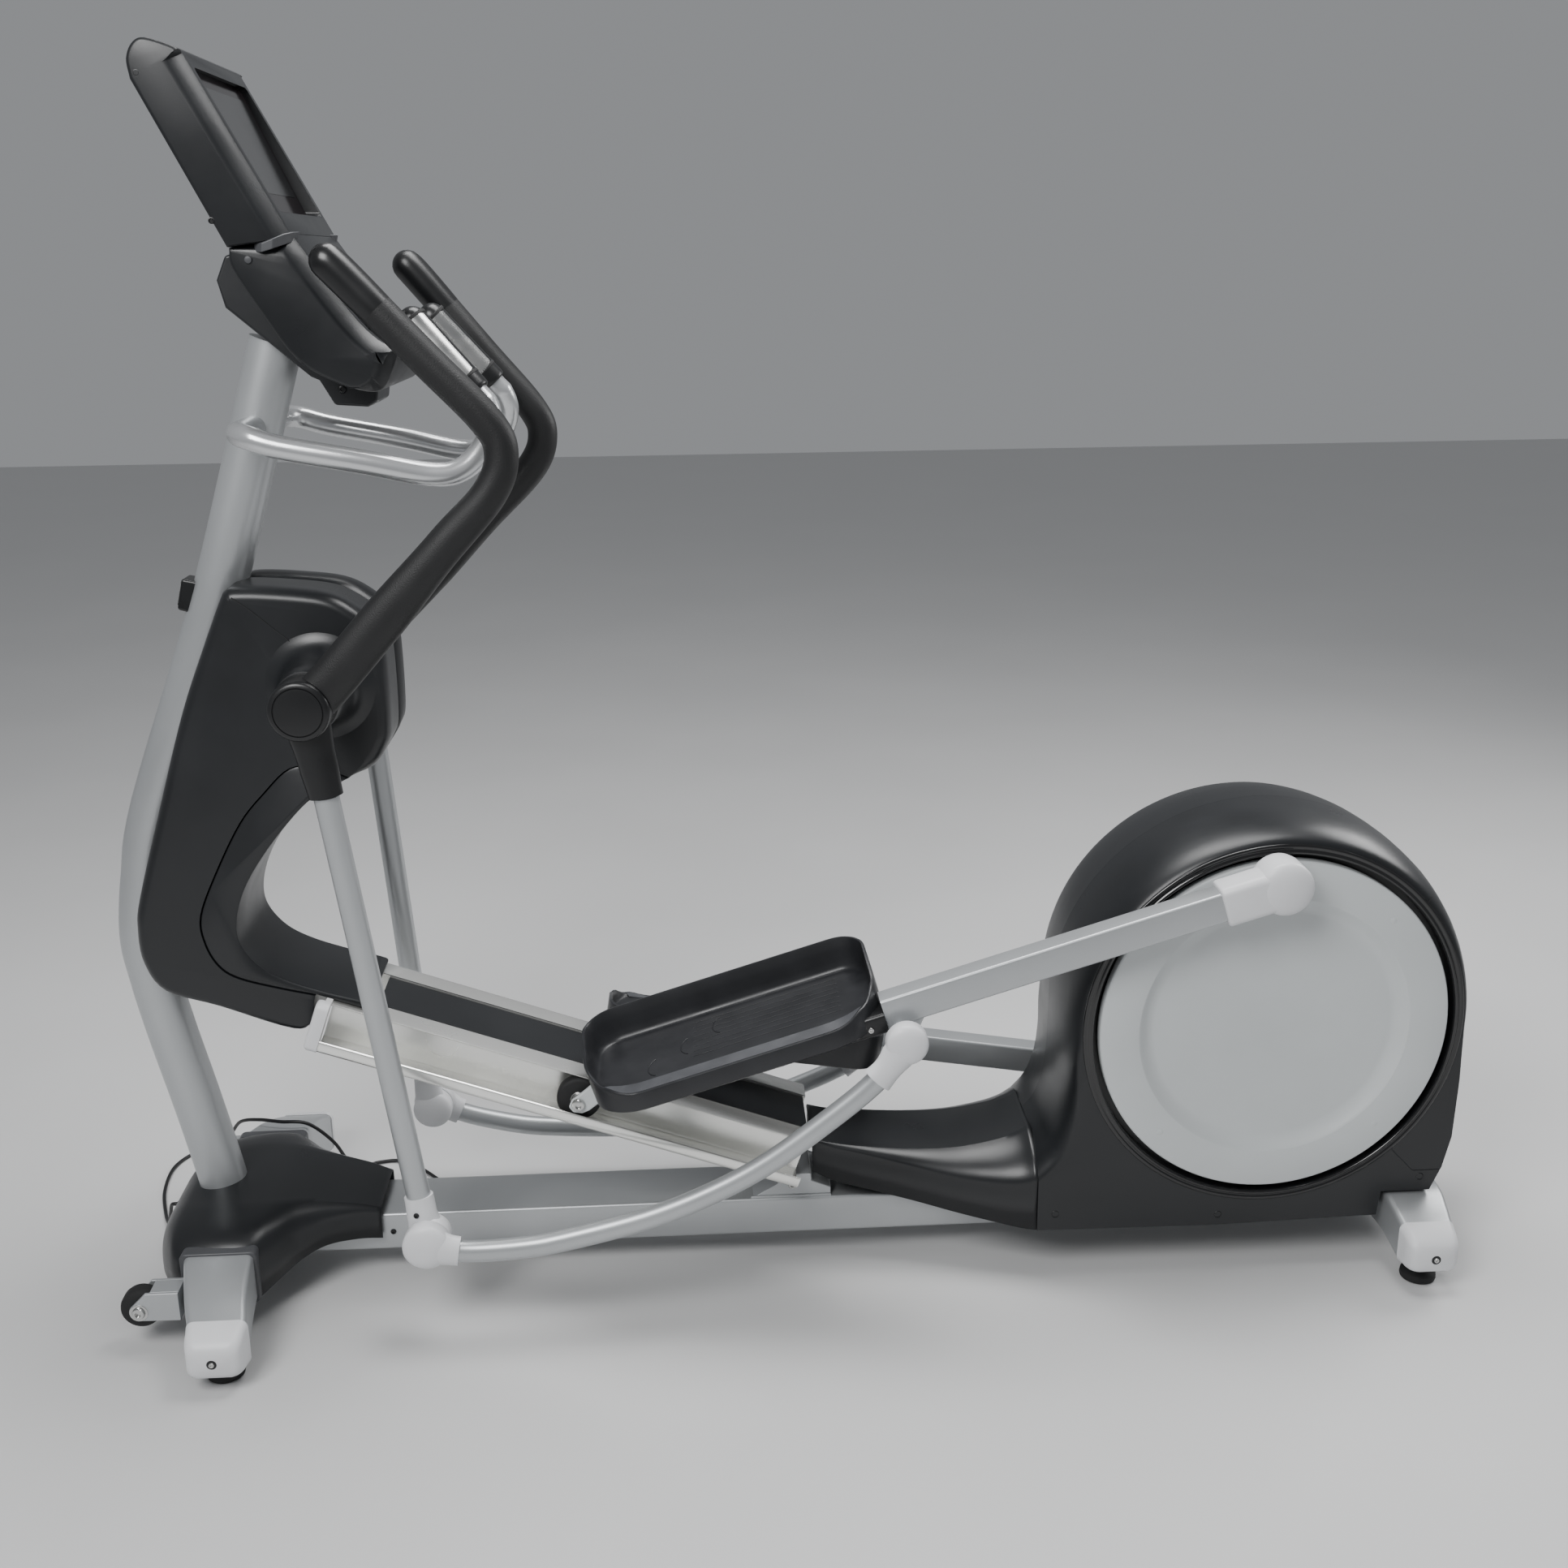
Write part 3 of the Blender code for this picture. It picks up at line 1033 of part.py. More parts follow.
def cord_plug():
    """Moulded plug with two flat blades and an earth pin."""
    x, y = COIL.x + 0.031, COIL.y - COIL_R - 0.003
    relief = lying("cord_plug", [(x, 0.0042), (x + 0.024, 0.0062)], y, 0.0120, rubber)
    body = box("body", (x + 0.022, y - 0.014, 0.0005), (x + 0.052, y + 0.014, 0.0235), rubber)
    soften(body, 0.004, 2, 60)
    blades = [box("blade", (x + 0.050, y + side * 0.0065 - 0.0008, 0.0105),
                  (x + 0.068, y + side * 0.0065 + 0.0008, 0.0170), steel) for side in (-1, 1)]
    earth = lying("earth", [(x + 0.050, 0.0024), (x + 0.071, 0.0024)], y, 0.0062, steel, 12)
    return join(relief, body, earth, *blades)


cord_relief()
cord_run()
cord_coil()
cord_plug()
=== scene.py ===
"""Looks of the elliptical trainer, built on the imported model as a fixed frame."""
import json
from math import atan2, cos, pi, radians, sin, sqrt

import bmesh
import bpy
from mathutils import Matrix, Vector

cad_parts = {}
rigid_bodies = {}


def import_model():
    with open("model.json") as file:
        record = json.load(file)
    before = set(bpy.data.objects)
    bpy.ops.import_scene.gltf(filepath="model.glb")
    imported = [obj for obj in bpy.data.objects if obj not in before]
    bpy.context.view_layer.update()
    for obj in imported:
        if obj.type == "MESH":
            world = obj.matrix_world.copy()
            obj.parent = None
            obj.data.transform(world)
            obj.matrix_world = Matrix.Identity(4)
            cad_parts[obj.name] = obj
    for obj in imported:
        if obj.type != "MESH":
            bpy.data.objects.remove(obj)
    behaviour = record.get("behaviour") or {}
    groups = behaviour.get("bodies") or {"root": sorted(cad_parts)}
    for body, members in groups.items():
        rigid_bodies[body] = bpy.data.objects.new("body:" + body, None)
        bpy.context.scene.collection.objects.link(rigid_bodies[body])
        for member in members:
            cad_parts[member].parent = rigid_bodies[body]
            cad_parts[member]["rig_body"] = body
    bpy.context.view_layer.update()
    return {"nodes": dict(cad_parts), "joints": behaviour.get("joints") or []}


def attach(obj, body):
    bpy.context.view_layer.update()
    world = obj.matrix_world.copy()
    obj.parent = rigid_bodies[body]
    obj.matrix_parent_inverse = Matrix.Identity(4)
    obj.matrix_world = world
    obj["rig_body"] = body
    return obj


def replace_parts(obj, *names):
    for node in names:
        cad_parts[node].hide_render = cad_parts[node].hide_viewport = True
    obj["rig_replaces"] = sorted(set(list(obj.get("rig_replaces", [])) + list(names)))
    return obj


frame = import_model()
joints = {joint["name"]: joint for joint in frame["joints"]}


def joint_side(name):
    """Side-view place of a joint's axis, as (x, z)."""
    x, _, z = joints[name]["pos_m"]
    return Vector((x, z))


# ---------------------------------------------------------------- driving dimensions
CRANK = joint_side("crank_spin")
ROLLER = joint_side("left_arm_pitch")
ROLLER_RIGHT = joint_side("right_arm_pitch")
LINK_REAR = joint_side("left_link_pivot")
LINK_REAR_RIGHT = joint_side("right_link_pivot")
PIVOT = joint_side("left_handle_swing")
WHEEL = joint_side("left_transport_wheel_spin")
LINK_FRONT = Vector((-0.558, 0.160))
CRANK_PIN = Vector((0.688, 0.655))
ARM_PITCH = radians(16.9)
RAIL_REAR = Vector((0.014, 0.227))
RAIL_SLOPE = radians(20)
RAIL_LENGTH = 0.752
SWING_Y, LINK_Y, HANDLE_Y = -0.205, -0.236, -0.212
CORD_R = 0.003
SIDES = (("left", -1), ("right", 1))


# ---------------------------------------------------------------- materials
def material(name, colour, roughness, metallic=0.0, tint=0.12, tint_scale=14.0, spread=0.06,
             bump=0.15, bump_scale=900.0, coat=0.0, cells=False, shine=0.5):
    """Procedural finish: slow colour and gloss drift, plus a fine surface texture."""
    made = bpy.data.materials.new(name)
    made.use_nodes = True
    nodes, wires = made.node_tree.nodes, made.node_tree.links
    shader = nodes["Principled BSDF"]
    shader.inputs["Metallic"].default_value = metallic
    shader.inputs["Specular IOR Level"].default_value = shine
    shader.inputs["Coat Weight"].default_value = coat
    shader.inputs["Coat Roughness"].default_value = 0.15
    place = nodes.new("ShaderNodeTexCoord").outputs["Object"]
    drift = nodes.new("ShaderNodeTexNoise")
    drift.inputs["Scale"].default_value = tint_scale
    drift.inputs["Detail"].default_value = 5.0
    wires.new(place, drift.inputs["Vector"])
    ramp = nodes.new("ShaderNodeValToRGB")
    ramp.color_ramp.elements[0].position = 0.3
    ramp.color_ramp.elements[1].position = 0.7
    ramp.color_ramp.elements[0].color = [c * (1 - tint) for c in colour] + [1]
    ramp.color_ramp.elements[1].color = [c * (1 + tint) for c in colour] + [1]
    wires.new(drift.outputs["Fac"], ramp.inputs["Fac"])
    wires.new(ramp.outputs["Color"], shader.inputs["Base Color"])
    gloss = nodes.new("ShaderNodeMapRange")
    gloss.inputs["From Min"].default_value = 0.3
    gloss.inputs["From Max"].default_value = 0.7
    gloss.inputs["To Min"].default_value = roughness - spread
    gloss.inputs["To Max"].default_value = roughness + spread
    wires.new(drift.outputs["Fac"], gloss.inputs["Value"])
    wires.new(gloss.outputs["Result"], shader.inputs["Roughness"])
    grain = nodes.new("ShaderNodeTexVoronoi" if cells else "ShaderNodeTexNoise")
    grain.inputs["Scale"].default_value = bump_scale
    wires.new(place, grain.inputs["Vector"])
    relief = nodes.new("ShaderNodeBump")
    relief.inputs["Strength"].default_value = bump
    relief.inputs["Distance"].default_value = 0.0004
    wires.new(grain.outputs["Distance" if cells else "Fac"], relief.inputs["Height"])
    wires.new(relief.outputs["Normal"], shader.inputs["Normal"])
    return made


silver = material("silver_paint", (0.46, 0.475, 0.485), 0.36, 0.6, 0.04, 6, 0.04, 0.08, 2600)
bright = material("bright_tube", (0.60, 0.61, 0.62), 0.24, 0.7, 0.04, 9, 0.05, 0.04, 1800, coat=0.2)
alloy = material("anodised_rail", (0.90, 0.90, 0.87), 0.26, 0.8, 0.02, 3, 0.03, 0.02, 900)
pale = material("pale_plastic", (0.70, 0.705, 0.72), 0.40, 0, 0.03, 18, 0.05, 0.08, 1600)
disc_skin = material("disc_plastic", (0.56, 0.585, 0.59), 0.40, 0, 0.03, 7, 0.05, 0.06, 1500)
charcoal = material("charcoal_cover", (0.0105, 0.0115, 0.0130), 0.33, 0, 0.14, 8, 0.06, 0.20, 1500)
dark = material("black_plastic", (0.0065, 0.0068, 0.0075), 0.32, 0, 0.15, 12, 0.06, 0.12, 1400)
gloss = material("gloss_black", (0.005, 0.005, 0.0055), 0.16, 0, 0.2, 10, 0.04, 0.02, 500, coat=0.4)
tray_skin = material("pedal_plastic", (0.0165, 0.0172, 0.0195), 0.36, 0, 0.16, 22, 0.07, 0.22, 1300)
# Paler grey of the band along the pedal's outer lip: painted highlight.
lip_highlight_skin = material("pedal_lip_painted_highlight", (0.060, 0.062, 0.068), 0.34, 0, 0.14, 26, 0.06, 0.2, 1300)
grip_skin = material("grip_rubber", (0.0070, 0.0072, 0.0078), 0.50, 0, 0.15, 16, 0.06, 0.45, 620,
                     cells=True)
rubber = material("plain_rubber", (0.0085, 0.0085, 0.009), 0.70, 0, 0.2, 24, 0.08, 0.3, 700)
steel = material("zinc_steel", (0.58, 0.58, 0.57), 0.26, 1.0, 0.06, 30, 0.06, 0.06, 1200)
glass = material("screen_glass", (0.0075, 0.0055, 0.0065), 0.12, 0, 0.15, 4, 0.02, 0.0, 300, shine=0.4)
band_skin = material("grey_band", (0.060, 0.062, 0.067), 0.42, 0, 0.08, 20, 0.05, 0.12, 900)
jacket = material("cord_jacket", (0.007, 0.007, 0.008), 0.45, 0, 0.15, 40, 0.06, 0.1, 1500)


# ---------------------------------------------------------------- mesh tools
def finish(name, bm, skin, body, replaces=(), angle=38, bevel=0.0, segments=3):
    """Turns a bmesh in world coordinates into a piece that rides on a body."""
    bmesh.ops.recalc_face_normals(bm, faces=bm.faces)
    mesh = bpy.data.meshes.new(name)
    bm.to_mesh(mesh)
    bm.free()
    obj = bpy.data.objects.new(name, mesh)
    bpy.context.scene.collection.objects.link(obj)
    mesh.materials.append(skin)
    for face in mesh.polygons:
        face.use_smooth = True
    mesh.set_sharp_from_angle(angle=radians(angle))
    if bevel:
        edge = obj.modifiers.new("edge", "BEVEL")
        edge.width = bevel
        edge.segments = segments
        edge.limit_method = "ANGLE"
        edge.angle_limit = radians(angle)
        edge.harden_normals = True
    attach(obj, body)
    if replaces:
        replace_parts(obj, *replaces)
    return obj


def loft(name, loops, skin, body, replaces=(), caps=(True, True), closed=True, **look):
    """Skins loops that have the same number of points; closed loops run round."""
    bm = bmesh.new()
    rings = [[bm.verts.new(p) for p in loop] for loop in loops]
    count = len(rings[0])
    for low, high in zip(rings, rings[1:]):
        for i in range(count if closed else count - 1):
            j = (i + 1) % count
            bm.faces.new((low[i], low[j], high[j], high[i]))
    if caps[0]:
        bm.faces.new(rings[0])
    if caps[1]:
        bm.faces.new(rings[-1])
    return finish(name, bm, skin, body, replaces, **look)


def prism(name, outline, y0, y1, skin, body, replaces=(), bevel=0.002, **look):
    loops = [[(x, y, z) for x, z in outline] for y in (y0, y1)]
    return loft(name, loops, skin, body, replaces, bevel=bevel, **look)


def turned(name, centre, profile, skin, body, replaces=(), steps=56, **look):
    """Solid of revolution about a Y axis; profile is (radius, y), ends at radius 0 or a loop."""
    bm = bmesh.new()
    rings = []
    for radius, y in profile:
        turns = [2 * pi * i / steps for i in range(steps)] if radius else [0]
        rings.append([bm.verts.new((centre[0] + radius * cos(t), y, centre[1] + radius * sin(t)))
                      for t in turns])
    for first, second in zip(rings, rings[1:]):
        for i in range(steps):
            j = (i + 1) % steps
            corners = [first[i % len(first)], first[j % len(first)],
                       second[j % len(second)], second[i % len(second)]]
            bm.faces.new(dict.fromkeys(corners))
    return finish(name, bm, skin, body, replaces, **look)


def spun(name, origin, axis, profile, skin, body, replaces=(), steps=36, **look):
    """Solid of revolution about any axis; profile is (radius, distance along the axis)."""
    turn = Vector(axis).to_track_quat("Z", "Y")
    loops = [[Vector(origin) + turn @ Vector((r * cos(2 * pi * i / steps), r * sin(2 * pi * i / steps), d))
              for i in range(steps)] for r, d in profile]
    return loft(name, loops, skin, body, replaces, **look)


def spline(a, b, c, d, t):
    """Catmull-Rom value between b and c, for numbers or vectors."""
    return 0.5 * (2 * b + (c - a) * t + (2 * a - 5 * b + 4 * c - d) * t ** 2
                  + (3 * b - a - 3 * c + d) * t ** 3)


def smooth(points, per_span=6):
    """Catmull-Rom curve through the points."""
    points = [Vector(p) for p in points]
    ends = [2 * points[0] - points[1]] + points + [2 * points[-1] - points[-2]]
    curve = []
    for knots in zip(ends, ends[1:], ends[2:], ends[3:]):
        curve += [spline(*knots, i / per_span) for i in range(per_span)]
    return curve + [points[-1]]


def at_y(points, y):
    return [Vector((p[0], y, p[1])) for p in points]


def domed(path, sizes):
    """Path and radii of a tube with a round cap added at the far end."""
    out = (path[-1] - path[-2]).normalized()
    turns = [radians(k) for k in (20, 40, 58, 72, 84)]
    return (path + [path[-1] + out * sizes[-1] * sin(t) for t in turns],
            sizes + [sizes[-1] * cos(t) for t in turns])


def tube(name, path, radius, skin, body, replaces=(), steps=32, domes=(False, False), start=(0, 1, 0),
         **look):
    """Round tube along a path; radius is one number or one per point."""
    path = [Vector(p) for p in path]
    sizes = list(radius) if isinstance(radius, (list, tuple)) else [radius] * len(path)
    if domes[0]:
        back, sizes = domed(path[::-1], sizes[::-1])
        path, sizes = back[::-1], sizes[::-1]
    if domes[1]:
        path, sizes = domed(path, sizes)
    loops = []
    side = Vector(start)
    for i, point in enumerate(path):
        along = (path[min(i + 1, len(path) - 1)] - path[max(i - 1, 0)]).normalized()
        side = (side - along * side.dot(along)).normalized()
        normal = side.cross(along)
        loops.append([point + normal * sizes[i] * cos(2 * pi * k / steps)
                      + side * sizes[i] * sin(2 * pi * k / steps) for k in range(steps)])
    return loft(name, loops, skin, body, replaces, **look)


def arc(centre, radius, first, turn, steps):
    """Points on a circle, from an angle in degrees on through a turn."""
    angles = [radians(first + turn * i / steps) for i in range(steps + 1)]
    return [(centre[0] + radius * cos(t), centre[1] + radius * sin(t)) for t in angles]


def rounded(low, high, radius, steps=5, upper=None):
    """Rounded rectangle, anticlockwise; upper is the radius of the two corners at its high side."""
    upper = upper or radius
    corners = [(high[0] - radius, low[1] + radius, radius), (high[0] - upper, high[1] - upper, upper),
               (low[0] + upper, high[1] - upper, upper), (low[0] + radius, low[1] + radius, radius)]
    return [spot for k, (a, b, bend) in enumerate(corners)
            for spot in arc((a, b), bend, 90 * k - 90, 90, steps)]


def offset(outline, distance):
    """Outline moved inwards; distance is one number or one per point; anticlockwise."""
    count = len(outline)
    reach = list(distance) if isinstance(distance, (list, tuple)) else [distance] * count
    moved = []
    for i in range(count):
        before, here, after = (Vector(outline[(i + k) % count]) for k in (-1, 0, 1))
        one, two = (here - before).normalized(), (after - here).normalized()
        bisector = Vector((-one.y - two.y, one.x + two.x)).normalized()
        step = reach[i] / max(0.5, bisector.dot(Vector((-one.y, one.x))))
        moved.append(tuple(here + bisector * step))
    return moved


def flat_smooth(points, per_span=6):
    """Smooth side-view curve."""
    return [(p.x, p.y) for p in smooth([(a, b, 0) for a, b in points], per_span)]


def blend_value(x, stations):
    """Smooth interpolation in a list of (x, value) pairs."""
    if x <= stations[0][0]:
        return stations[0][1]
    for (x0, v0), (x1, v1) in zip(stations, stations[1:]):
        if x <= x1:
            t = (x - x0) / (x1 - x0)
            return v0 + (v1 - v0) * t * t * (3 - 2 * t)
    return stations[-1][1]


def bolt(name, x, y, z, radius, facing, body, skin=None):
    """Button-head screw with a hexagon socket, facing -Y or +Y."""
    profile = [(radius, 0), (radius, 0.25 * radius), (0.86 * radius, 0.5 * radius),
               (0.5 * radius, 0.6 * radius), (0.48 * radius, 0.6 * radius),
               (0.44 * radius, 0.2 * radius)]
    return spun(name, (x, y, z), (0, facing, 0), profile, skin or steel, body, steps=24)


# ---------------------------------------------------------------- camera, light and floor
def camera():
    """The main viewpoint: beside the pedals, at the height of the console."""
    yaw, pitch, roll = 0.0549, 0.2943, -0.0124
    forward = Vector((sin(yaw) * cos(pitch), cos(yaw) * cos(pitch), -sin(pitch)))
    level = Vector((cos(yaw), -sin(yaw), 0))
    above = level.cross(forward)
    right = level * cos(roll) + above * sin(roll)
    up = above * cos(roll) - level * sin(roll)
    data = bpy.data.cameras.new("camera")
    data.sensor_width = 36
    data.lens = 39.56
    obj = bpy.data.objects.new("camera", data)
    bpy.context.scene.collection.objects.link(obj)
    pose = Matrix((right, up, -forward)).transposed().to_4x4()
    pose.translation = Vector((-0.1527, -2.4611, 1.5196))
    obj.matrix_world = pose
    bpy.context.scene.camera = obj


def area_light(name, place, target, size, power):
    data = bpy.data.lights.new(name, "AREA")
    data.shape = "RECTANGLE"
    data.size, data.size_y = size
    data.energy = power
    obj = bpy.data.objects.new(name, data)
    bpy.context.scene.collection.objects.link(obj)
    obj.location = place
    obj.rotation_euler = (Vector(target) - Vector(place)).to_track_quat("-Z", "Y").to_euler()


def studio():
    world = bpy.data.worlds.new("studio")
    world.use_nodes = True
    world.node_tree.nodes["Background"].inputs["Color"].default_value = (0.80, 0.82, 0.85, 1)
    world.node_tree.nodes["Background"].inputs["Strength"].default_value = 0.34
    bpy.context.scene.world = world
    area_light("key", (-1.6, -2.6, 3.2), (0, 0, 0.5), (1.6, 1.6), 120)
    area_light("ceiling", (0.2, 0.3, 3.4), (0, 0, 0.4), (2.4, 1.2), 95)
    area_light("rear_fill", (2.8, 1.2, 2.2), (0.3, 0, 0.5), (1.4, 1.4), 45)
    bm = bmesh.new()
    bmesh.ops.create_grid(bm, x_segments=2, y_segments=2, size=12)
    mesh = bpy.data.meshes.new("floor")
    bm.to_mesh(mesh)
    bm.free()
    floor = bpy.data.objects.new("floor", mesh)
    bpy.context.scene.collection.objects.link(floor)
    mesh.materials.append(material("pale_floor", (0.60, 0.60, 0.60), 0.55, 0, 0.02, 1.5, 0.05,
                                   0.1, 60))


# ---------------------------------------------------------------- power cord
COIL = Vector((-0.440, 0.117, 0.0))
COIL_R = 0.033
FLOOR = 0.0040
EXIT = (-0.9985, 0.045, 0.0835)
ROUTE = [EXIT, (-1.0025, 0.045, 0.0835), (-1.010, 0.051, 0.078), (-1.020, 0.070, 0.050),
         (-1.034, 0.100, 0.016), (-1.055, 0.150, FLOOR), (-1.079, 0.228, FLOOR),
         (-1.085, 0.310, FLOOR), (-1.060, 0.362, 0.0045), (-1.015, 0.350, 0.022),
         (-0.975, 0.295, 0.075), (-0.945, 0.255, 0.117), (-0.905, 0.225, 0.1345),
         (-0.865, 0.207, 0.1385), (-0.820, 0.205, 0.134), (-0.785, 0.225, 0.088),
         (-0.768, 0.250, 0.035), (-0.754, 0.281, 0.006), (-0.725, 0.300, FLOOR),
         (-0.680, 0.298, FLOOR), (-0.617, 0.235, FLOOR), (-0.568, 0.150, FLOOR),
         (-0.520, 0.092, FLOOR), (-0.464, 0.078, FLOOR)]


def coil_turns(turns):
    """Bottom layer wound inwards, then a second layer wound outwards on top of it."""
    points = []
    per_turn = 20
    lower = 2.0
    for k in range(1, int(turns * per_turn) + 1):
        turn = k / per_turn
        angle = -pi / 2 + 2 * pi * turn
        if turn <= lower:
            radius = COIL_R + 0.006 - 0.006 * turn
        else:
            radius = COIL_R - 0.006 + 0.006 * (turn - lower)
        lift = blend_value(turn, [(lower - 0.15, 0), (lower + 0.25, 2 * CORD_R + 0.0002)])
        points.append((COIL.x + radius * cos(angle), COIL.y + radius * sin(angle), FLOOR + lift))
    return points


def power_cord():
    """The lead: over the floor and the right front leg, then a coil behind the beam."""
    turns = coil_turns(4.0)
    plug_x, plug_y = COIL.x + 0.031, COIL.y - COIL_R - 0.003
    tail = [(COIL.x + 0.012, plug_y, FLOOR + 2 * CORD_R + 0.0010), (plug_x + 0.001, plug_y, 0.0120)]
    path = smooth(ROUTE, 6) + smooth([ROUTE[-1]] + turns[:-1] + tail, 3)[1:]
    lead = tube("cord_lead", path, CORD_R, jacket, "frame", ("cord_run", "cord_coil"), steps=12,
                start=(0, 0, 1), angle=60)
    tie = [(COIL.x + COIL_R + 0.0125 * cos(t), COIL.y + 0.0035 * s, 0.0087 + 0.0085 * sin(t))
           for s in (-1, 1) for t in [2 * pi * k / 24 for k in range(24)]]
    loft("cord_tie", [tie[:24], tie[24:]], rubber, "frame", bevel=0.0006)


camera()
studio()
power_cord()


# ---------------------------------------------------------------- base frame and feet
def paint_node(name, skin):
    """Gives a carried-over CAD node its procedural finish."""
    mesh = frame["nodes"][name].data
    mesh.materials.clear()
    mesh.materials.append(skin)


def section_at(y, x0, x1, bottom, top, corner, steps=4):
    return [(x, y, z) for x, z in rounded((x0, bottom), (x1, top), corner, steps)]


def spread(stations, count):
    """Smoothly resampled list of equal-length number rows."""
    rows = []
    ends = [[2 * a - b for a, b in zip(stations[0], stations[1])]] + stations \
        + [[2 * a - b for a, b in zip(stations[-1], stations[-2])]]
    for knots in zip(ends, ends[1:], ends[2:], ends[3:]):
        rows += [[spline(*column, i / count) for column in zip(*knots)] for i in range(count)]
    return rows + [stations[-1]]


FRONT_LEG = [(0.0, -0.925, -0.8125, 0.046, 0.1075), (0.09, -0.926, -0.815, 0.046, 0.112),
             (0.17, -0.924, -0.821, 0.050, 0.128), (0.22, -0.914, -0.818, 0.046, 0.125),
             (0.27, -0.901, -0.812, 0.036, 0.112), (0.308, -0.889, -0.805, 0.026, 0.097)]
REAR_LEG = [(0.0, 0.9055, 1.000, 0.050, 0.118), (0.08, 0.903, 1.001, 0.052, 0.122),
            (0.13, 0.904, 0.998, 0.052, 0.122), (0.165, 0.905, 0.993, 0.046, 0.114),
            (0.195, 0.907, 0.989, 0.036, 0.103)]
LEFT = []                       # the pieces that get a right-hand copy


def both(piece):
    """Notes a left-hand piece that right_hand() copies to the other side."""
    LEFT.append(piece)
    return piece


def to_side(profile, side):
    """Turned profile on the left (-1) or right (1) side of the machine."""
    return [(radius, side * y) for radius, y in profile]


def dome(radius, y, depth):
    """Turned profile of a soft dome, from its middle at y out to its radius."""
    return [(radius * sin(radians(9 * k)), y + depth * (1 - cos(radians(9 * k)))) for k in range(11)]


def add_wall(shell):
    """Gives an open moulded shell its wall, inwards."""
    wall = shell.modifiers.new("wall", "SOLIDIFY")
    wall.thickness = 0.0035
    wall.offset = -1


def stabilizers():
    for place, leg, reach, foot_x, foot_y in (("front", FRONT_LEG, 0.351, -0.846, 0.293),
                                              ("rear", REAR_LEG, 0.238, 0.948, 0.181)):
        half = [list(station) for station in spread(leg, 5)]
        loops = [section_at(-s[0], *s[1:], 0.009) for s in reversed(half)]
        loops += [section_at(*s, 0.009) for s in half[1:]]
        loft(place + "_leg", loops, silver, "frame", (place + "_stabilizer",), angle=30)
        y_in, x0, x1, bottom, top = leg[-1]
        loops = [section_at(-y_in - 0.0003, x0 - 0.0014, x1 + 0.0014, bottom - 0.0005, top + 0.001, 0.012, 6)]
        for k in range(7):
            t = k / 6
            pull = 1 - sqrt(1 - t ** 2)
            y = -(y_in + 0.012 + (reach - y_in - 0.012) * t)
            loops.append(section_at(y, x0 + 0.0005 + 0.013 * pull, x1 - 0.0005 - 0.013 * pull,
                                    bottom + 0.011 * pull, top - 0.002 - 0.010 * t - 0.010 * pull,
                                    0.013, 6))
        both(loft(place + "_leg_cap_left", loops, pale, "frame", (place + "_cap_left",), angle=50))
        both(turned(place + "_cap_socket_left", ((x0 + x1) / 2, (bottom + top) / 2 - 0.006),
                    [(0.0072, -reach + 0.001), (0.0072, -reach - 0.0003), (0.0064, -reach - 0.0007),
                     (0, -reach - 0.0005)], dark, "frame", steps=28))
        both(bolt(place + "_cap_screw_left", (x0 + x1) / 2, -reach - 0.0004, (bottom + top) / 2 - 0.006,
                  0.0040, -1, "frame"))
        body = place + "_foot_left"
        pad = [(0.0235, 0.0002), (0.0262, 0.002), (0.0270, 0.005), (0.0262, 0.011), (0.022, 0.0145),
               (0.0135, 0.0160), (0.0132, 0.0162)]
        both(spun(body + "_pad", (foot_x, -foot_y, 0), (0, 0, 1), pad, rubber, body, (body,), steps=40))
        nut = arc((foot_x, -foot_y), 0.0105, 0, 300, 5)
        both(loft(body + "_nut", [[(x, y, z) for x, y in nut] for z in (0.0162, 0.0235)], steel, body,
                  bevel=0.0008))
        thread = [(0.0056 if k % 2 else 0.0048, 0.0235 + k * 0.0006) for k in range(40)]
        both(spun(body + "_stud", (foot_x, -foot_y, 0), (0, 0, 1), thread, steel, body, steps=20))


def leg_trim():
    """Grey lip of the base cover around each front leg."""
    loops = [section_at(y, -0.9285 + pull, -0.8165 - pull, 0.0465 + pull, 0.1325 - pull, 0.010, 6)
             for y, pull in ((-0.168, 0), (-0.1868, 0), (-0.1885, 0.0006), (-0.1893, 0.0020))]
    both(loft("leg_trim_left", loops, band_skin, "frame", angle=50))


def beam():
    """Rectangular beam with rounded edges, weld beads, end screw and the ramp bracket."""
    body = "frame"
    loops = [[(x, y, z) for y, z in rounded((-0.055, 0.046), (0.055, 0.108), 0.005, 4)]
             for x in (-0.812, 0.902)]
    loft("beam_tube", loops, silver, body, ("base_frame",))
    bracket = [(-0.080, 0.106), (0.046, 0.106), (0.046, 0.1215), (0.0155, 0.134), (0.0155, 0.146),
               (-0.026, 0.146), (-0.040, 0.130)]
    prism("beam_bracket", bracket, -0.050, 0.050, silver, body, bevel=0.002)
    for side in (-1, 1):
        bead = [(-0.080 + 0.126 * k / 24, side * 0.0505, 0.1085 + 0.0006 * (k % 2)) for k in range(25)]
        tube("bracket_weld", bead, 0.0025, silver, body, steps=10)
        bolt("beam_screw", -0.640, side * 0.0548, 0.077, 0.0045, side, body, dark)
        bolt("bracket_bolt", -0.015, side * 0.0498, 0.128, 0.0065, side, body)
    for side in (-1, 1):
        cheek = [(CRANK.x - 0.16, 0.107), (CRANK.x + 0.13, 0.107), (CRANK.x + 0.045, CRANK.y + 0.02),
                 (CRANK.x, CRANK.y + 0.045), (CRANK.x - 0.045, CRANK.y + 0.02)]
        prism("bearing_cheek", cheek, side * 0.046, side * 0.054, silver, body, bevel=0.001)
        housing = [(0.0128, 0.040), (0.030, 0.040), (0.030, 0.075), (0.0128, 0.075)]
        turned("bearing_housing", CRANK, to_side(housing, side), silver, body)


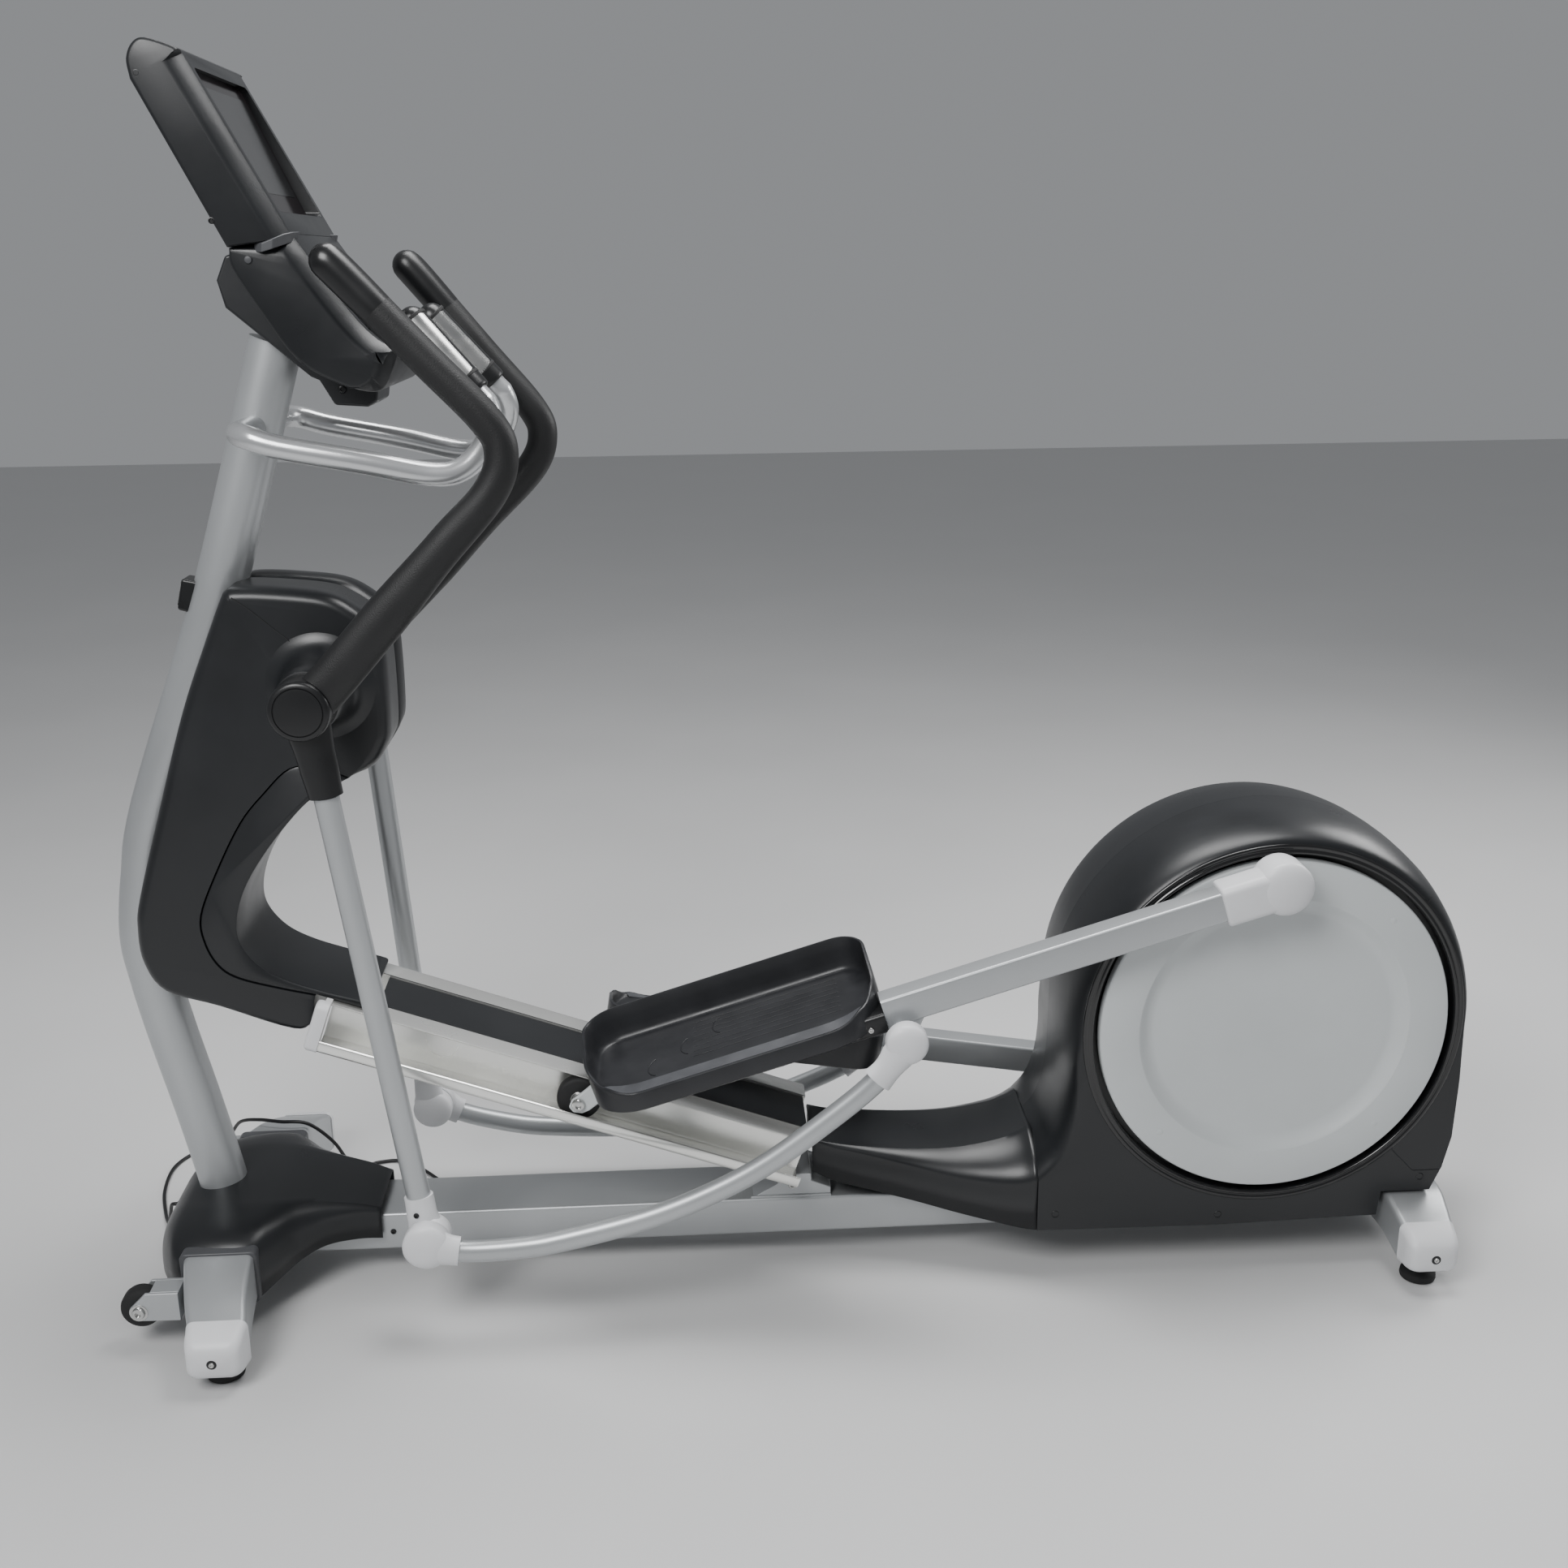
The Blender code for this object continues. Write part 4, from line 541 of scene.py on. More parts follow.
def wheels():
    """Transport wheels in their folded steel forks on the front legs."""
    for y0, y1 in ((-0.238, -0.2325), (-0.2015, -0.196)):
        side = [(-0.9195, 0.100), (-0.967, 0.100)] + arc(WHEEL, 0.0140, 150, 120, 10) + [(-0.9195, 0.055)]
        both(prism("fork_cheek_left", side, y0, y1, silver, "frame", ("wheel_bracket_left",), 0.001))
    back = [(-0.9195, 0.055), (-0.9195, 0.100), (-0.961, 0.100), (-0.961, 0.0968), (-0.923, 0.0968),
            (-0.923, 0.055)]
    both(prism("fork_back_left", back, -0.2330, -0.2010, silver, "frame", bevel=0.0008))
    tyre = [(0.008, -0.2318), (0.0235, -0.2312), (0.0285, -0.2285), (0.030, -0.2240), (0.030, -0.2100),
            (0.0285, -0.2055), (0.0235, -0.2028), (0.008, -0.2022)]
    both(turned("wheel_tyre_left", WHEEL, [(0, -0.2318)] + tyre + [(0, -0.2022)], rubber, "wheel_left",
                ("transport_wheel_left",)))
    both(turned("wheel_hub_left", WHEEL, [(0, -0.2322), (0.0125, -0.2322), (0.0135, -0.2316),
                                          (0.0135, -0.2312)], band_skin, "wheel_left"))
    both(bolt("wheel_bolt_left", WHEEL.x, -0.2378, WHEEL.y, 0.0095, -1, "frame"))
    both(spun("wheel_washer_left", (WHEEL.x, -0.2378, WHEEL.y), (0, -1, 0),
              [(0.0130, 0), (0.0130, 0.0012), (0.0060, 0.0012)], steel, "frame"))
    both(bolt("wheel_nut_left", WHEEL.x, -0.1962, WHEEL.y, 0.0080, 1, "frame"))


def deck_loop(x, half, bottom, deck, top, fall, dish=0.0, slope=0.35, power=1.0):
    """Cover section: a deck, a crease at each edge, a shoulder that falls away, a side wall."""
    side = []
    for k in range(9):
        y = deck * k / 8
        side.append((y, top - dish * (1 - (y / max(deck, 0.001)) ** 2)))
    for k in range(1, 15):
        turn = pi / 2 * k / 14
        share = sin(turn)
        side.append((deck + (half - deck) * share,
                     top - fall * (slope * share + (1 - slope) * (1 - cos(turn)) ** power)))
    side.append((half, bottom))
    return [(x, -y, z) for y, z in reversed(side)] + [(x, y, z) for y, z in side[1:]]


def base_cover():
    """Front cover: a creased deck that widens forward into shoulders over the legs."""
    stations = [(-0.985, 0.080, 0.068, 0.030, 0.098, 0.026, 0.0, 0.10),
                (-0.977, 0.115, 0.066, 0.050, 0.122, 0.046, 0.0, 0.10),
                (-0.958, 0.152, 0.064, 0.070, 0.140, 0.050, 0.0, 0.12),
                (-0.935, 0.176, 0.058, 0.084, 0.149, 0.054, 0.0, 0.14),
                (-0.880, 0.1865, 0.050, 0.094, 0.156, 0.056, 0.0, 0.16),
                (-0.830, 0.1860, 0.048, 0.094, 0.156, 0.058, 0.0, 0.18),
                (-0.800, 0.158, 0.060, 0.088, 0.155, 0.060, 0.0, 0.24),
                (-0.770, 0.118, 0.072, 0.080, 0.151, 0.050, 0.0, 0.30),
                (-0.735, 0.092, 0.080, 0.072, 0.144, 0.028, 0.0, 0.34),
                (-0.690, 0.074, 0.078, 0.064, 0.134, 0.014, 0.0, 0.36),
                (-0.655, 0.064, 0.072, 0.058, 0.1225, 0.008, 0.0, 0.36)]
    loops = [deck_loop(*row, power=1.5) for row in spread(stations, 5)]
    add_wall(loft("base_cover", loops, charcoal, "frame", ("front_base_cover",), caps=(True, False),
                  closed=False, angle=24))


# ---------------------------------------------------------------- upright and tower
UPRIGHT = [(-0.905, 0.1100), (-0.907, 0.15), (-0.931, 0.28), (-0.958, 0.41), (-0.974, 0.502),
           (-0.980, 0.568), (-0.967, 0.66), (-0.939, 0.77), (-0.817, 1.08), (-0.704, 1.424)]
TOWER = [(-0.756, 0.436), (-0.722, 0.449), (-0.716, 0.4945), (-0.768, 0.5075), (-0.824, 0.525),
         (-0.851, 0.545), (-0.867, 0.58), (-0.869, 0.624), (-0.840, 0.69), (-0.799, 0.763),
         (-0.762, 0.806), (-0.722, 0.842), (-0.680, 0.843), (-0.640, 0.826), (-0.606, 0.84),
         (-0.586, 0.868), (-0.578, 0.90), (-0.578, 1.009), (-0.587, 1.040), (-0.613, 1.068),
         (-0.653, 1.089), (-0.72, 1.098), (-0.774, 1.1005), (-0.790, 1.095), (-0.799, 1.080),
         (-0.826, 1.02), (-0.866, 0.925), (-0.912, 0.79), (-0.957, 0.651), (-0.966, 0.603),
         (-0.963, 0.55), (-0.936, 0.504), (-0.86, 0.476)]
NECK = [(-0.7155, 0.4948), (-0.645, 0.4695), (-0.642, 0.480), (-0.70, 0.4985), (-0.752, 0.518),
        (-0.790, 0.541), (-0.815, 0.575), (-0.819, 0.61), (-0.806, 0.655), (-0.78, 0.70),
        (-0.737, 0.755), (-0.694, 0.797), (-0.640, 0.8255), (-0.680, 0.8427), (-0.7218, 0.8417),
        (-0.7617, 0.8057), (-0.7987, 0.7627), (-0.8397, 0.6897), (-0.8687, 0.6237),
        (-0.8667, 0.58), (-0.8507, 0.5453), (-0.8237, 0.5253), (-0.7677, 0.5078)]
TOWER_HALF = 0.088
NECK_FLAT = 0.0815              # half of the neck's width before its edges round over


EASE = 5                        # points per span of an eased outline


def eased(outline, sharp):
    """Closed outline smoothed between its sharp corners."""
    count = len(outline)
    curve = []
    for first, last in zip(sharp, sharp[1:] + [sharp[0] + count]):
        stretch = [outline[i % count] for i in range(first, last + 1)]
        curve += flat_smooth(stretch, EASE)[:-1]
    return curve


def shell_half(name, outline, side, reach, edges, skin, body, replaces):
    """Moulded half: side wall whose edge rounds over by a different amount per point."""
    depths = [(0.00015, 0.0), (reach - 0.022, 0.0)]
    depths += [(reach - 0.022 * (1 - sin(t)), 1 - cos(t)) for t in [radians(10 * k) for k in range(1, 10)]]
    loops = [[(x, side * y, z) for x, z in offset(outline, [share * e for e in edges])]
             for y, share in depths]
    add_wall(loft(name, loops, skin, body, replaces, caps=(False, True), angle=50))


def tower():
    body = "frame"
    tube("upright_body", at_y(flat_smooth(UPRIGHT, 6), 0), 0.036, silver, body, ("upright_tube",), steps=40)
    # The seam with the neck wrap stays tight; the outer edges round over.
    outline = eased(TOWER, [1, 2, 13])
    tight = 12 * EASE
    edges = [0.003] * EASE + [0.001] * (tight - EASE) + [0.017] * (len(outline) - tight)
    for k in range(EASE):
        edges[k - EASE] = 0.017 - 0.003 * k
        edges[tight + k] = 0.001 + 0.0032 * k
    for name, side in SIDES:
        shell_half("tower_" + name, outline, side, TOWER_HALF, edges, charcoal, body,
                   ("tower_cover_" + name,))
        seam = [(-0.778, 1.088), (-0.752, 1.068), (-0.722, 1.041), (-0.706, 1.027), (-0.699, 1.016),
                (-0.701, 1.006)]
        tube("tower_seam", at_y(flat_smooth(seam, 5), side * (TOWER_HALF - 0.0001)), 0.0010, dark,
             body, steps=8)
        flare = [(0.082, 0.0865), (0.074, 0.0885), (0.064, 0.0930), (0.0555, 0.1010), (0.0500, 0.1130),
                 (0.0468, 0.1300), (0.0450, 0.1500), (0.0440, 0.1790), (0.0425, 0.1825), (0.0380, 0.1838),
                 (0.0122, 0.1838), (0.0122, 0.0865), (0.082, 0.0865)]
        turned("pivot_flare", PIVOT, to_side(flare, side), charcoal, body, steps=72, angle=50)
    neck = eased(NECK, [0, 1, 12])
    loops = []
    for y, pull in ((-TOWER_HALF, 0.003), (-TOWER_HALF + 0.0015, 0.0008), (-NECK_FLAT, 0.0),
                    (NECK_FLAT, 0.0), (TOWER_HALF - 0.0015, 0.0008), (TOWER_HALF, 0.003)):
        loops.append([(x, y, z) for x, z in offset(neck, pull)])
    loft("neck_wrap", loops, charcoal, body, ("neck_cover",), angle=40)
    # Rear insert with its deep open pocket.
    slot = rounded((-0.052, 0.862), (0.052, 0.990), 0.010, 6)

    def face_x(z):
        return blend_value(z, [(0.8443, -0.602), (0.8686, -0.5862), (0.90, -0.578), (1.009, -0.578),
                               (1.038, -0.5862), (1.0597, -0.603)])

    outer = rounded((-0.060, 0.8445), (0.060, 1.0595), 0.006, 6)
    loops = [[(-0.64, y, z) for y, z in outer], [(face_x(z), y, z) for y, z in outer],
             [(face_x(z) + 0.0002, y, z) for y, z in slot],
             [(face_x(z) - 0.004, y * 0.965, 0.926 + (z - 0.926) * 0.97) for y, z in slot],
             [(-0.628, y * 0.93, 0.926 + (z - 0.926) * 0.95) for y, z in slot]]
    loft("tower_insert", loops, charcoal, body, ("tower_rear_insert",), angle=40)
    spun("pivot_shaft", (PIVOT.x, -0.2195, PIVOT.y), (0, 1, 0),
         [(0.010, 0), (0.012, 0.0015), (0.012, 0.4375), (0.010, 0.439)], steel, body,
         ("handle_pivot_shaft",), steps=36)


# ---------------------------------------------------------------- ramp and rails
def on_rail(s, n):
    return (RAIL_REAR.x - s * cos(RAIL_SLOPE) + n * sin(RAIL_SLOPE),
            RAIL_REAR.y + s * sin(RAIL_SLOPE) + n * cos(RAIL_SLOPE))


def along_rail(name, section, stations, skin, replaces=(), **look):
    """Extrusion along the slope; stations are (s, inset) and the section (y, n) pairs."""
    loops = []
    for s, inset in stations:
        ring = offset(section, inset) if inset else section
        loops.append([(on_rail(s, n)[0], y, on_rail(s, n)[1]) for y, n in ring])
    return loft(name, loops, skin, "frame", replaces, **look)


def ramp():
    section = [(-0.0552, 0), (-0.0965, 0), (-0.0983, -0.0006), (-0.0985, -0.0014), (-0.0978, -0.0023),
               (-0.096, -0.0026), (-0.0602, -0.0026), (-0.0592, -0.0036), (-0.0592, -0.0666),
               (-0.0606, -0.0700), (-0.0640, -0.0712), (-0.1060, -0.0712), (-0.1080, -0.0700),
               (-0.1086, -0.0680), (-0.1088, -0.0586), (-0.1098, -0.0568), (-0.1112, -0.0562),
               (-0.1127, -0.0570), (-0.1134, -0.0590), (-0.1134, -0.0690), (-0.1122, -0.0725),
               (-0.1098, -0.0744), (-0.1070, -0.0749), (-0.0552, -0.0749)]
    both(along_rail("rail_body_left", section, [(0, 0), (RAIL_LENGTH, 0)], alloy, ("rail_left",),
                    angle=40))
    both(along_rail("rail_groove_left", rounded((-0.0565, -0.0004), (-0.0552, 0.0004), 0.0003, 2),
                    [(0.002, 0), (RAIL_LENGTH - 0.002, 0)], dark))
    cap = rounded((-0.1155, -0.0772), (-0.0884, 0.0022), 0.0105, 6)
    both(along_rail("rail_end_left", cap, [(RAIL_LENGTH + 0.0004, 0), (RAIL_LENGTH + 0.0145, 0),
                                           (RAIL_LENGTH + 0.0182, 0.0012), (RAIL_LENGTH + 0.0200, 0.0042)],
                    pale, ("rail_cap_left",), angle=50))
    half = 0.0545
    channel = [(-half, -0.0035), (-half + 0.0012, -0.0022), (half - 0.0012, -0.0022), (half, -0.0035),
               (half, -0.062), (half - 0.003, -0.062), (half - 0.003, -0.0052), (-half + 0.003, -0.0052),
               (-half + 0.003, -0.062), (-half, -0.062)]
    along_rail("ramp_top", channel, [(0.004, 0), (0.688, 0)], charcoal, ("ramp_cover",), angle=40)


# ---------------------------------------------------------------- console
CONSOLE_HALF, POD_HALF = 0.167, 0.160
CONSOLE_SIDE = [(-0.717, 1.545), (-0.640, 1.561), (-0.750, 1.772), (-0.757, 1.779), (-0.79, 1.789),
                (-0.806, 1.783), (-0.815, 1.765), (-0.813, 1.742)]
SCREEN_TOP, SCREEN_BOTTOM = Vector((-0.7545, 1.757)), Vector((-0.6775, 1.588))
POD_SIDE = [(-0.7165, 1.5445), (-0.7145, 1.52), (-0.682, 1.463), (-0.643, 1.405), (-0.591, 1.374),
            (-0.554, 1.364), (-0.536, 1.373), (-0.520, 1.407), (-0.522, 1.420), (-0.542, 1.430),
            (-0.575, 1.466), (-0.6395, 1.5605)]
WEDGE = [(-0.763, 1.505), (-0.755, 1.47), (-0.651, 1.379), (-0.640, 1.374), (-0.622, 1.341),
         (-0.578, 1.338), (-0.565, 1.345), (-0.560, 1.38), (-0.66, 1.50), (-0.7167, 1.5435),
         (-0.749, 1.536)]
# Side edge of both mouldings: distance in from the side, chamfer of the front, edge of the outline.
SIDE_EDGE = ((0, 0.0200, 0.0050), (0.0008, 0.0188, 0.0022), (0.0030, 0.0165, 0.0004),
             (0.0165, 0.0010, 0), (0.0190, 0, 0))
DOWN_SCREEN = (SCREEN_BOTTOM - SCREEN_TOP).normalized()
OUT_SCREEN = Vector((-DOWN_SCREEN.y, DOWN_SCREEN.x))


def screen_point(y, down, out):
    """Point on the console's face: down from the screen's top edge, out of its surface."""
    spot = SCREEN_TOP + DOWN_SCREEN * down + OUT_SCREEN * out
    return (spot.x, y, spot.y)


def with_mirror(rings):
    """The rings of one half, then their mirror images on to the other side."""
    return rings + [[(x, -y, z) for x, y, z in ring] for ring in reversed(rings)]


def console():
    body = "frame"
    height = (SCREEN_BOTTOM - SCREEN_TOP).length
    # The face frame: from the outer rim down into the recess that holds the screen.
    face_top, face_low = Vector((-0.750, 1.772)), Vector((-0.640, 1.561))
    face = (face_low - face_top).normalized()
    rim = Vector((-face.y, face.x))

    def on_face(y, d, n):
        spot = face_top + face * d + rim * n
        return (spot.x, y, spot.y)

    length = (face_low - face_top).length
    outer = rounded((-CONSOLE_HALF, 0.0), (CONSOLE_HALF, length), 0.014, 6)
    inner = rounded((-0.135, 0.016), (0.135, length - 0.030), 0.008, 6)
    top = flat_smooth(CONSOLE_SIDE[2:], 5)
    outline = CONSOLE_SIDE[:2] + top
    fronts = [0, 1, 1] + [0.5, 0.2] + [0] * len(top)
    shell = []
    for step, chamfer, edge in SIDE_EDGE:
        ring = offset(outline, edge) if edge else outline
        shell.append([(x - rim.x * chamfer * share, CONSOLE_HALF - step, z - rim.y * chamfer * share)
                      for (x, z), share in zip(ring, fronts)])
    housing = loft("console_body", with_mirror(shell), charcoal, body, ("console_shell",), angle=30)
    cutter = loft("console_cutter", [[on_face(y, d, 0.05) for y, d in inner],
                                     [on_face(y, d, 0.0) for y, d in inner],
                                     [screen_point(y * 0.995, (d - 0.016) * height / (length - 0.046), 0.0)
                                      for y, d in inner]], charcoal, body)
    hollow(housing, cutter)
    pane = [[screen_point(y * 0.992, 0.001 + (d - 0.016) * (height - 0.002) / (length - 0.046), n)
             for y, d in inner] for n in (0.0005, 0.0035)]
    loft("screen_pane", pane, glass, body, ("console_screen",), bevel=0.0008)
    view = rounded((-0.118, 0.022), (0.118, height - 0.026), 0.004, 4)
    loft("screen_view", [[screen_point(y, d, n) for y, d in view] for n in (0.0036, 0.0040)], gloss, body)
    for side in (-1, 1):
        band = [[(-0.674, 0.1675, 1.5385), (-0.673, 0.1675, 1.5495)],
                [(-0.660, 0.1672, 1.5425), (-0.658, 0.1672, 1.5550)],
                [(-0.6485, 0.1570, 1.5468), (-0.6460, 0.1570, 1.5605)],
                [(-0.6400, 0.1480, 1.5500), (-0.6365, 0.1480, 1.5630)],
                [(-0.6350, 0.1280, 1.5525), (-0.6325, 0.1280, 1.5635)]]
        loops = []
        for (x0, y, z0), (x1, _, z1) in band:
            loops.append([(x0, side * (y + 0.0015), z0), (x1, side * (y + 0.0015), z1),
                          (x1 - 0.012, side * (y - 0.012), z1), (x0 - 0.012, side * (y - 0.012), z0)])
        loft("console_band", loops, band_skin, body, bevel=0.0012)
        spun("console_pin", (-0.693, side * (0.1500 - 0.010), 1.530), (0, side, 0),
             [(0.0050, 0), (0.0050, 0.0210), (0.0042, 0.0222), (0.0020, 0.0226)], band_skin, body, steps=20)
        for x, z in ((-0.732, 1.577), (-0.804, 1.749)):
            spun("console_side_screw", (x, side * (CONSOLE_HALF - 0.0035), z), (0, side, 0),
                 [(0.0040, 0), (0.0040, 0.0034), (0.0030, 0.0036), (0.0028, 0.0020)], dark, body, steps=20)
    for k in range(9):
        z = 1.60 + 0.011 * k
        x = -0.717 - (z - 1.545) / (1.742 - 1.545) * 0.096
        slat = [(x - 0.0012, z), (x + 0.004, z - 0.001), (x + 0.004, z + 0.003), (x - 0.0012, z + 0.0038)]
        prism("console_vent", slat, -0.06, 0.06, dark, body, bevel=0.0006)


def hollow(obj, cutter):
    """Cuts one piece out of another and removes the cutter."""
    bpy.context.view_layer.update()
    step = obj.modifiers.new("step", "BOOLEAN")
    step.operation = "DIFFERENCE"
    step.solver = "EXACT"
    step.object = cutter
    bpy.context.view_layer.update()
    graph = bpy.context.evaluated_depsgraph_get()
    mesh = bpy.data.meshes.new_from_object(obj.evaluated_get(graph))
    obj.modifiers.clear()
    for face in mesh.polygons:
        face.use_smooth = True
    mesh.set_sharp_from_angle(angle=radians(35))
    obj.data = mesh
    bpy.data.objects.remove(cutter, do_unlink=True)


def pod():
    """Control pod under the screen: rounded side bolsters, open tray, two grey paddles."""
    body = "frame"
    side = flat_smooth(POD_SIDE, 4)
    # The front edge is chamfered like the screen housing's; the back edge is not.
    front = [blend_value(i / 4, [(4.2, 0.0), (5.4, 1.0)]) for i in range(len(side))]
    loops = []
    for step, chamfer, edge in SIDE_EDGE:
        ring = offset(side, [chamfer * share + edge for share in front])
        loops.append([(x, POD_HALF - step, z) for x, z in ring])
    shell = loft("pod_body", with_mirror(loops), charcoal, body, ("console_pod",), angle=30)
    cutter = prism("pod_tray", [(-0.632, 1.514), (-0.560, 1.405), (-0.46, 1.47), (-0.56, 1.60)],
                   -0.130, 0.130, charcoal, body, bevel=0)
    hollow(shell, cutter)
    shell.modifiers.new("edge", "BEVEL").width = 0.0012
    prism("pod_wedge", WEDGE, -0.052, 0.052, charcoal, body, bevel=0.004)
    for side in (-1, 1):
        bolt("wedge_screw", -0.610, side * 0.0518, 1.362, 0.0055, side, body, dark)
        bolt("wedge_screw", -0.700, side * 0.0518, 1.470, 0.0055, side, body, dark)
        button = [(0.011, 0), (0.011, 0.003), (0.0095, 0.0042), (0.004, 0.0046)]
        for k, name in enumerate(("near", "far")):
            spot = Vector((-0.596 + 0.020 * k, side * 0.085, 1.4595 - 0.029 * k))
            spun("tray_key_" + name, spot, (0.828, 0, 0.56), button, band_skin, body, steps=28)
    paddle = [(-0.606, 1.4795), (-0.5745, 1.4385), (-0.562, 1.452), (-0.568, 1.466), (-0.577, 1.480),
              (-0.592, 1.494)]
    prism("paddle_body", paddle, -0.060, 0.060, band_skin, "paddle", ("control_paddle",), bevel=0.004,
          segments=4)


HANDRAIL = [(-0.737, -0.045, 1.312), (-0.737, -0.100, 1.312), (-0.733, -0.135, 1.312),
            (-0.714, -0.160, 1.309), (-0.675, -0.165, 1.297), (-0.568, -0.162, 1.276),
            (-0.484, -0.154, 1.258), (-0.445, -0.145, 1.263), (-0.418, -0.132, 1.288),
            (-0.407, -0.120, 1.318), (-0.412, -0.110, 1.343), (-0.424, -0.106, 1.358),
            (-0.503, -0.092, 1.450)]


def handrail():
    """Glossy bent tube whose ends carry grips with steel sensor plates."""
    right = [(x, -y, z) for x, y, z in reversed(HANDRAIL)]
    path = smooth(right + HANDRAIL, 8)
    tube("handrail_tube", path[3:-3], 0.0158, bright, "frame", ("handrail",), steps=32)
    low, high = Vector(HANDRAIL[-2]), Vector(HANDRAIL[-1])
    along = (high - low).normalized()
    length = (high - low).length
    body = [low + along * length * t for t in (0, 0.01, 0.02, 0.05, 0.5, 1.0)]
    both(tube("handrail_grip_left", body, [0.0185, 0.0200, 0.0208, 0.0210, 0.0205, 0.0200], dark, "frame",
              steps=40, domes=(False, True)))
    for way in (-1, 1):
        both(grip_plate("sensor_plate_left", low + along * 0.022, high + along * 0.002, way))
    for share in (0.17, 1.0):
        ring = [low + along * (length * share + step) for step in (-0.0012, 0, 0.0030, 0.0042)]
        both(tube("grip_ring_left", ring, [0.0206, 0.0216, 0.0216, 0.0206], rubber, "frame", steps=40))


def grip_plate(name, start, end, way):
    """Curved steel sensor plate on one side of a handrail grip."""
    along = (end - start).normalized()
    side = (Vector((0, 1, 0)) - along * along.y).normalized()
    out = along.cross(side)
    loops = []
    for k in range(17):
        turn = radians(-62 + 124 * k / 16)
        spot = (side * cos(turn) * way + out * sin(turn))
        tip = 0.006 * (1 - cos(turn * 1.2))
        loops.append([start + along * tip + spot * r for r in (0.0203, 0.0216)]
                     + [end - along * tip + spot * r for r in (0.0211, 0.0198)])
    return loft(name, loops, steel, "frame", angle=30)


def sensor_pod():
    body = "frame"
    prism("sensor_body", [(-0.8725, 1.060), (-0.846, 1.052), (-0.829, 1.097), (-0.862, 1.104)],
          -0.020, 0.020, dark, body, ("sensor_pod",), bevel=0.004)
    face = [(-0.8722, 1.0655), (-0.8735, 1.0650), (-0.8645, 1.0990), (-0.8632, 1.0995)]
    prism("sensor_face", face, -0.014, 0.014, steel, body, bevel=0.0003)


stabilizers()
beam()
wheels()
leg_trim()
base_cover()
tower()
ramp()
console()
pod()
handrail()
sensor_pod()


# ---------------------------------------------------------------- rear drive and its covers
SHROUD_Y = 0.140
SIDE_R, CROWN_R, OPENING_R = 0.292, 0.321, 0.275
FLYWHEEL = Vector((0.462, 0.232))
FRONT_MID = [(0.3935, 0.366), (0.3925, 0.325), (0.3865, 0.280), (0.3750, 0.246), (0.3575, 0.2225)]
FRONT_SIDE = [(0.4130, 0.366), (0.4150, 0.310), (0.4110, 0.255), (0.3930, 0.205), (0.3575, 0.1640)]


def shroud_outline(radius):
    """Side outline: the crown's arc, and a front that leans back towards the sides."""
    crown = []
    steps = 66
    for step in range(steps + 1):
        angle = radians(-2 + 180 * step / steps)
        swell = min(1.0, 0.55 + 0.45 * max(0.0, angle) / radians(40))
        reach = SIDE_R + (radius - 0.008 * max(0.0, angle / radians(90) - 1) - SIDE_R) * swell
        crown.append((CRANK.x + reach * cos(angle), CRANK.y + reach * sin(angle)))
    share = (CROWN_R - radius) / 0.029
    front = [(a + (c - a) * share, b + (d - b) * share)
             for (a, b), (c, d) in zip(FRONT_MID, FRONT_SIDE)]
    base = [(0.3575, 0.083), (0.641, 0.080), (0.891, 0.086), (0.8955, 0.1265), (0.972, 0.1265),
            (0.988, 0.165), (0.999, 0.217), (1.0015, 0.314)]
    return base + crown + flat_smooth([crown[-1]] + front, 4)[1:]


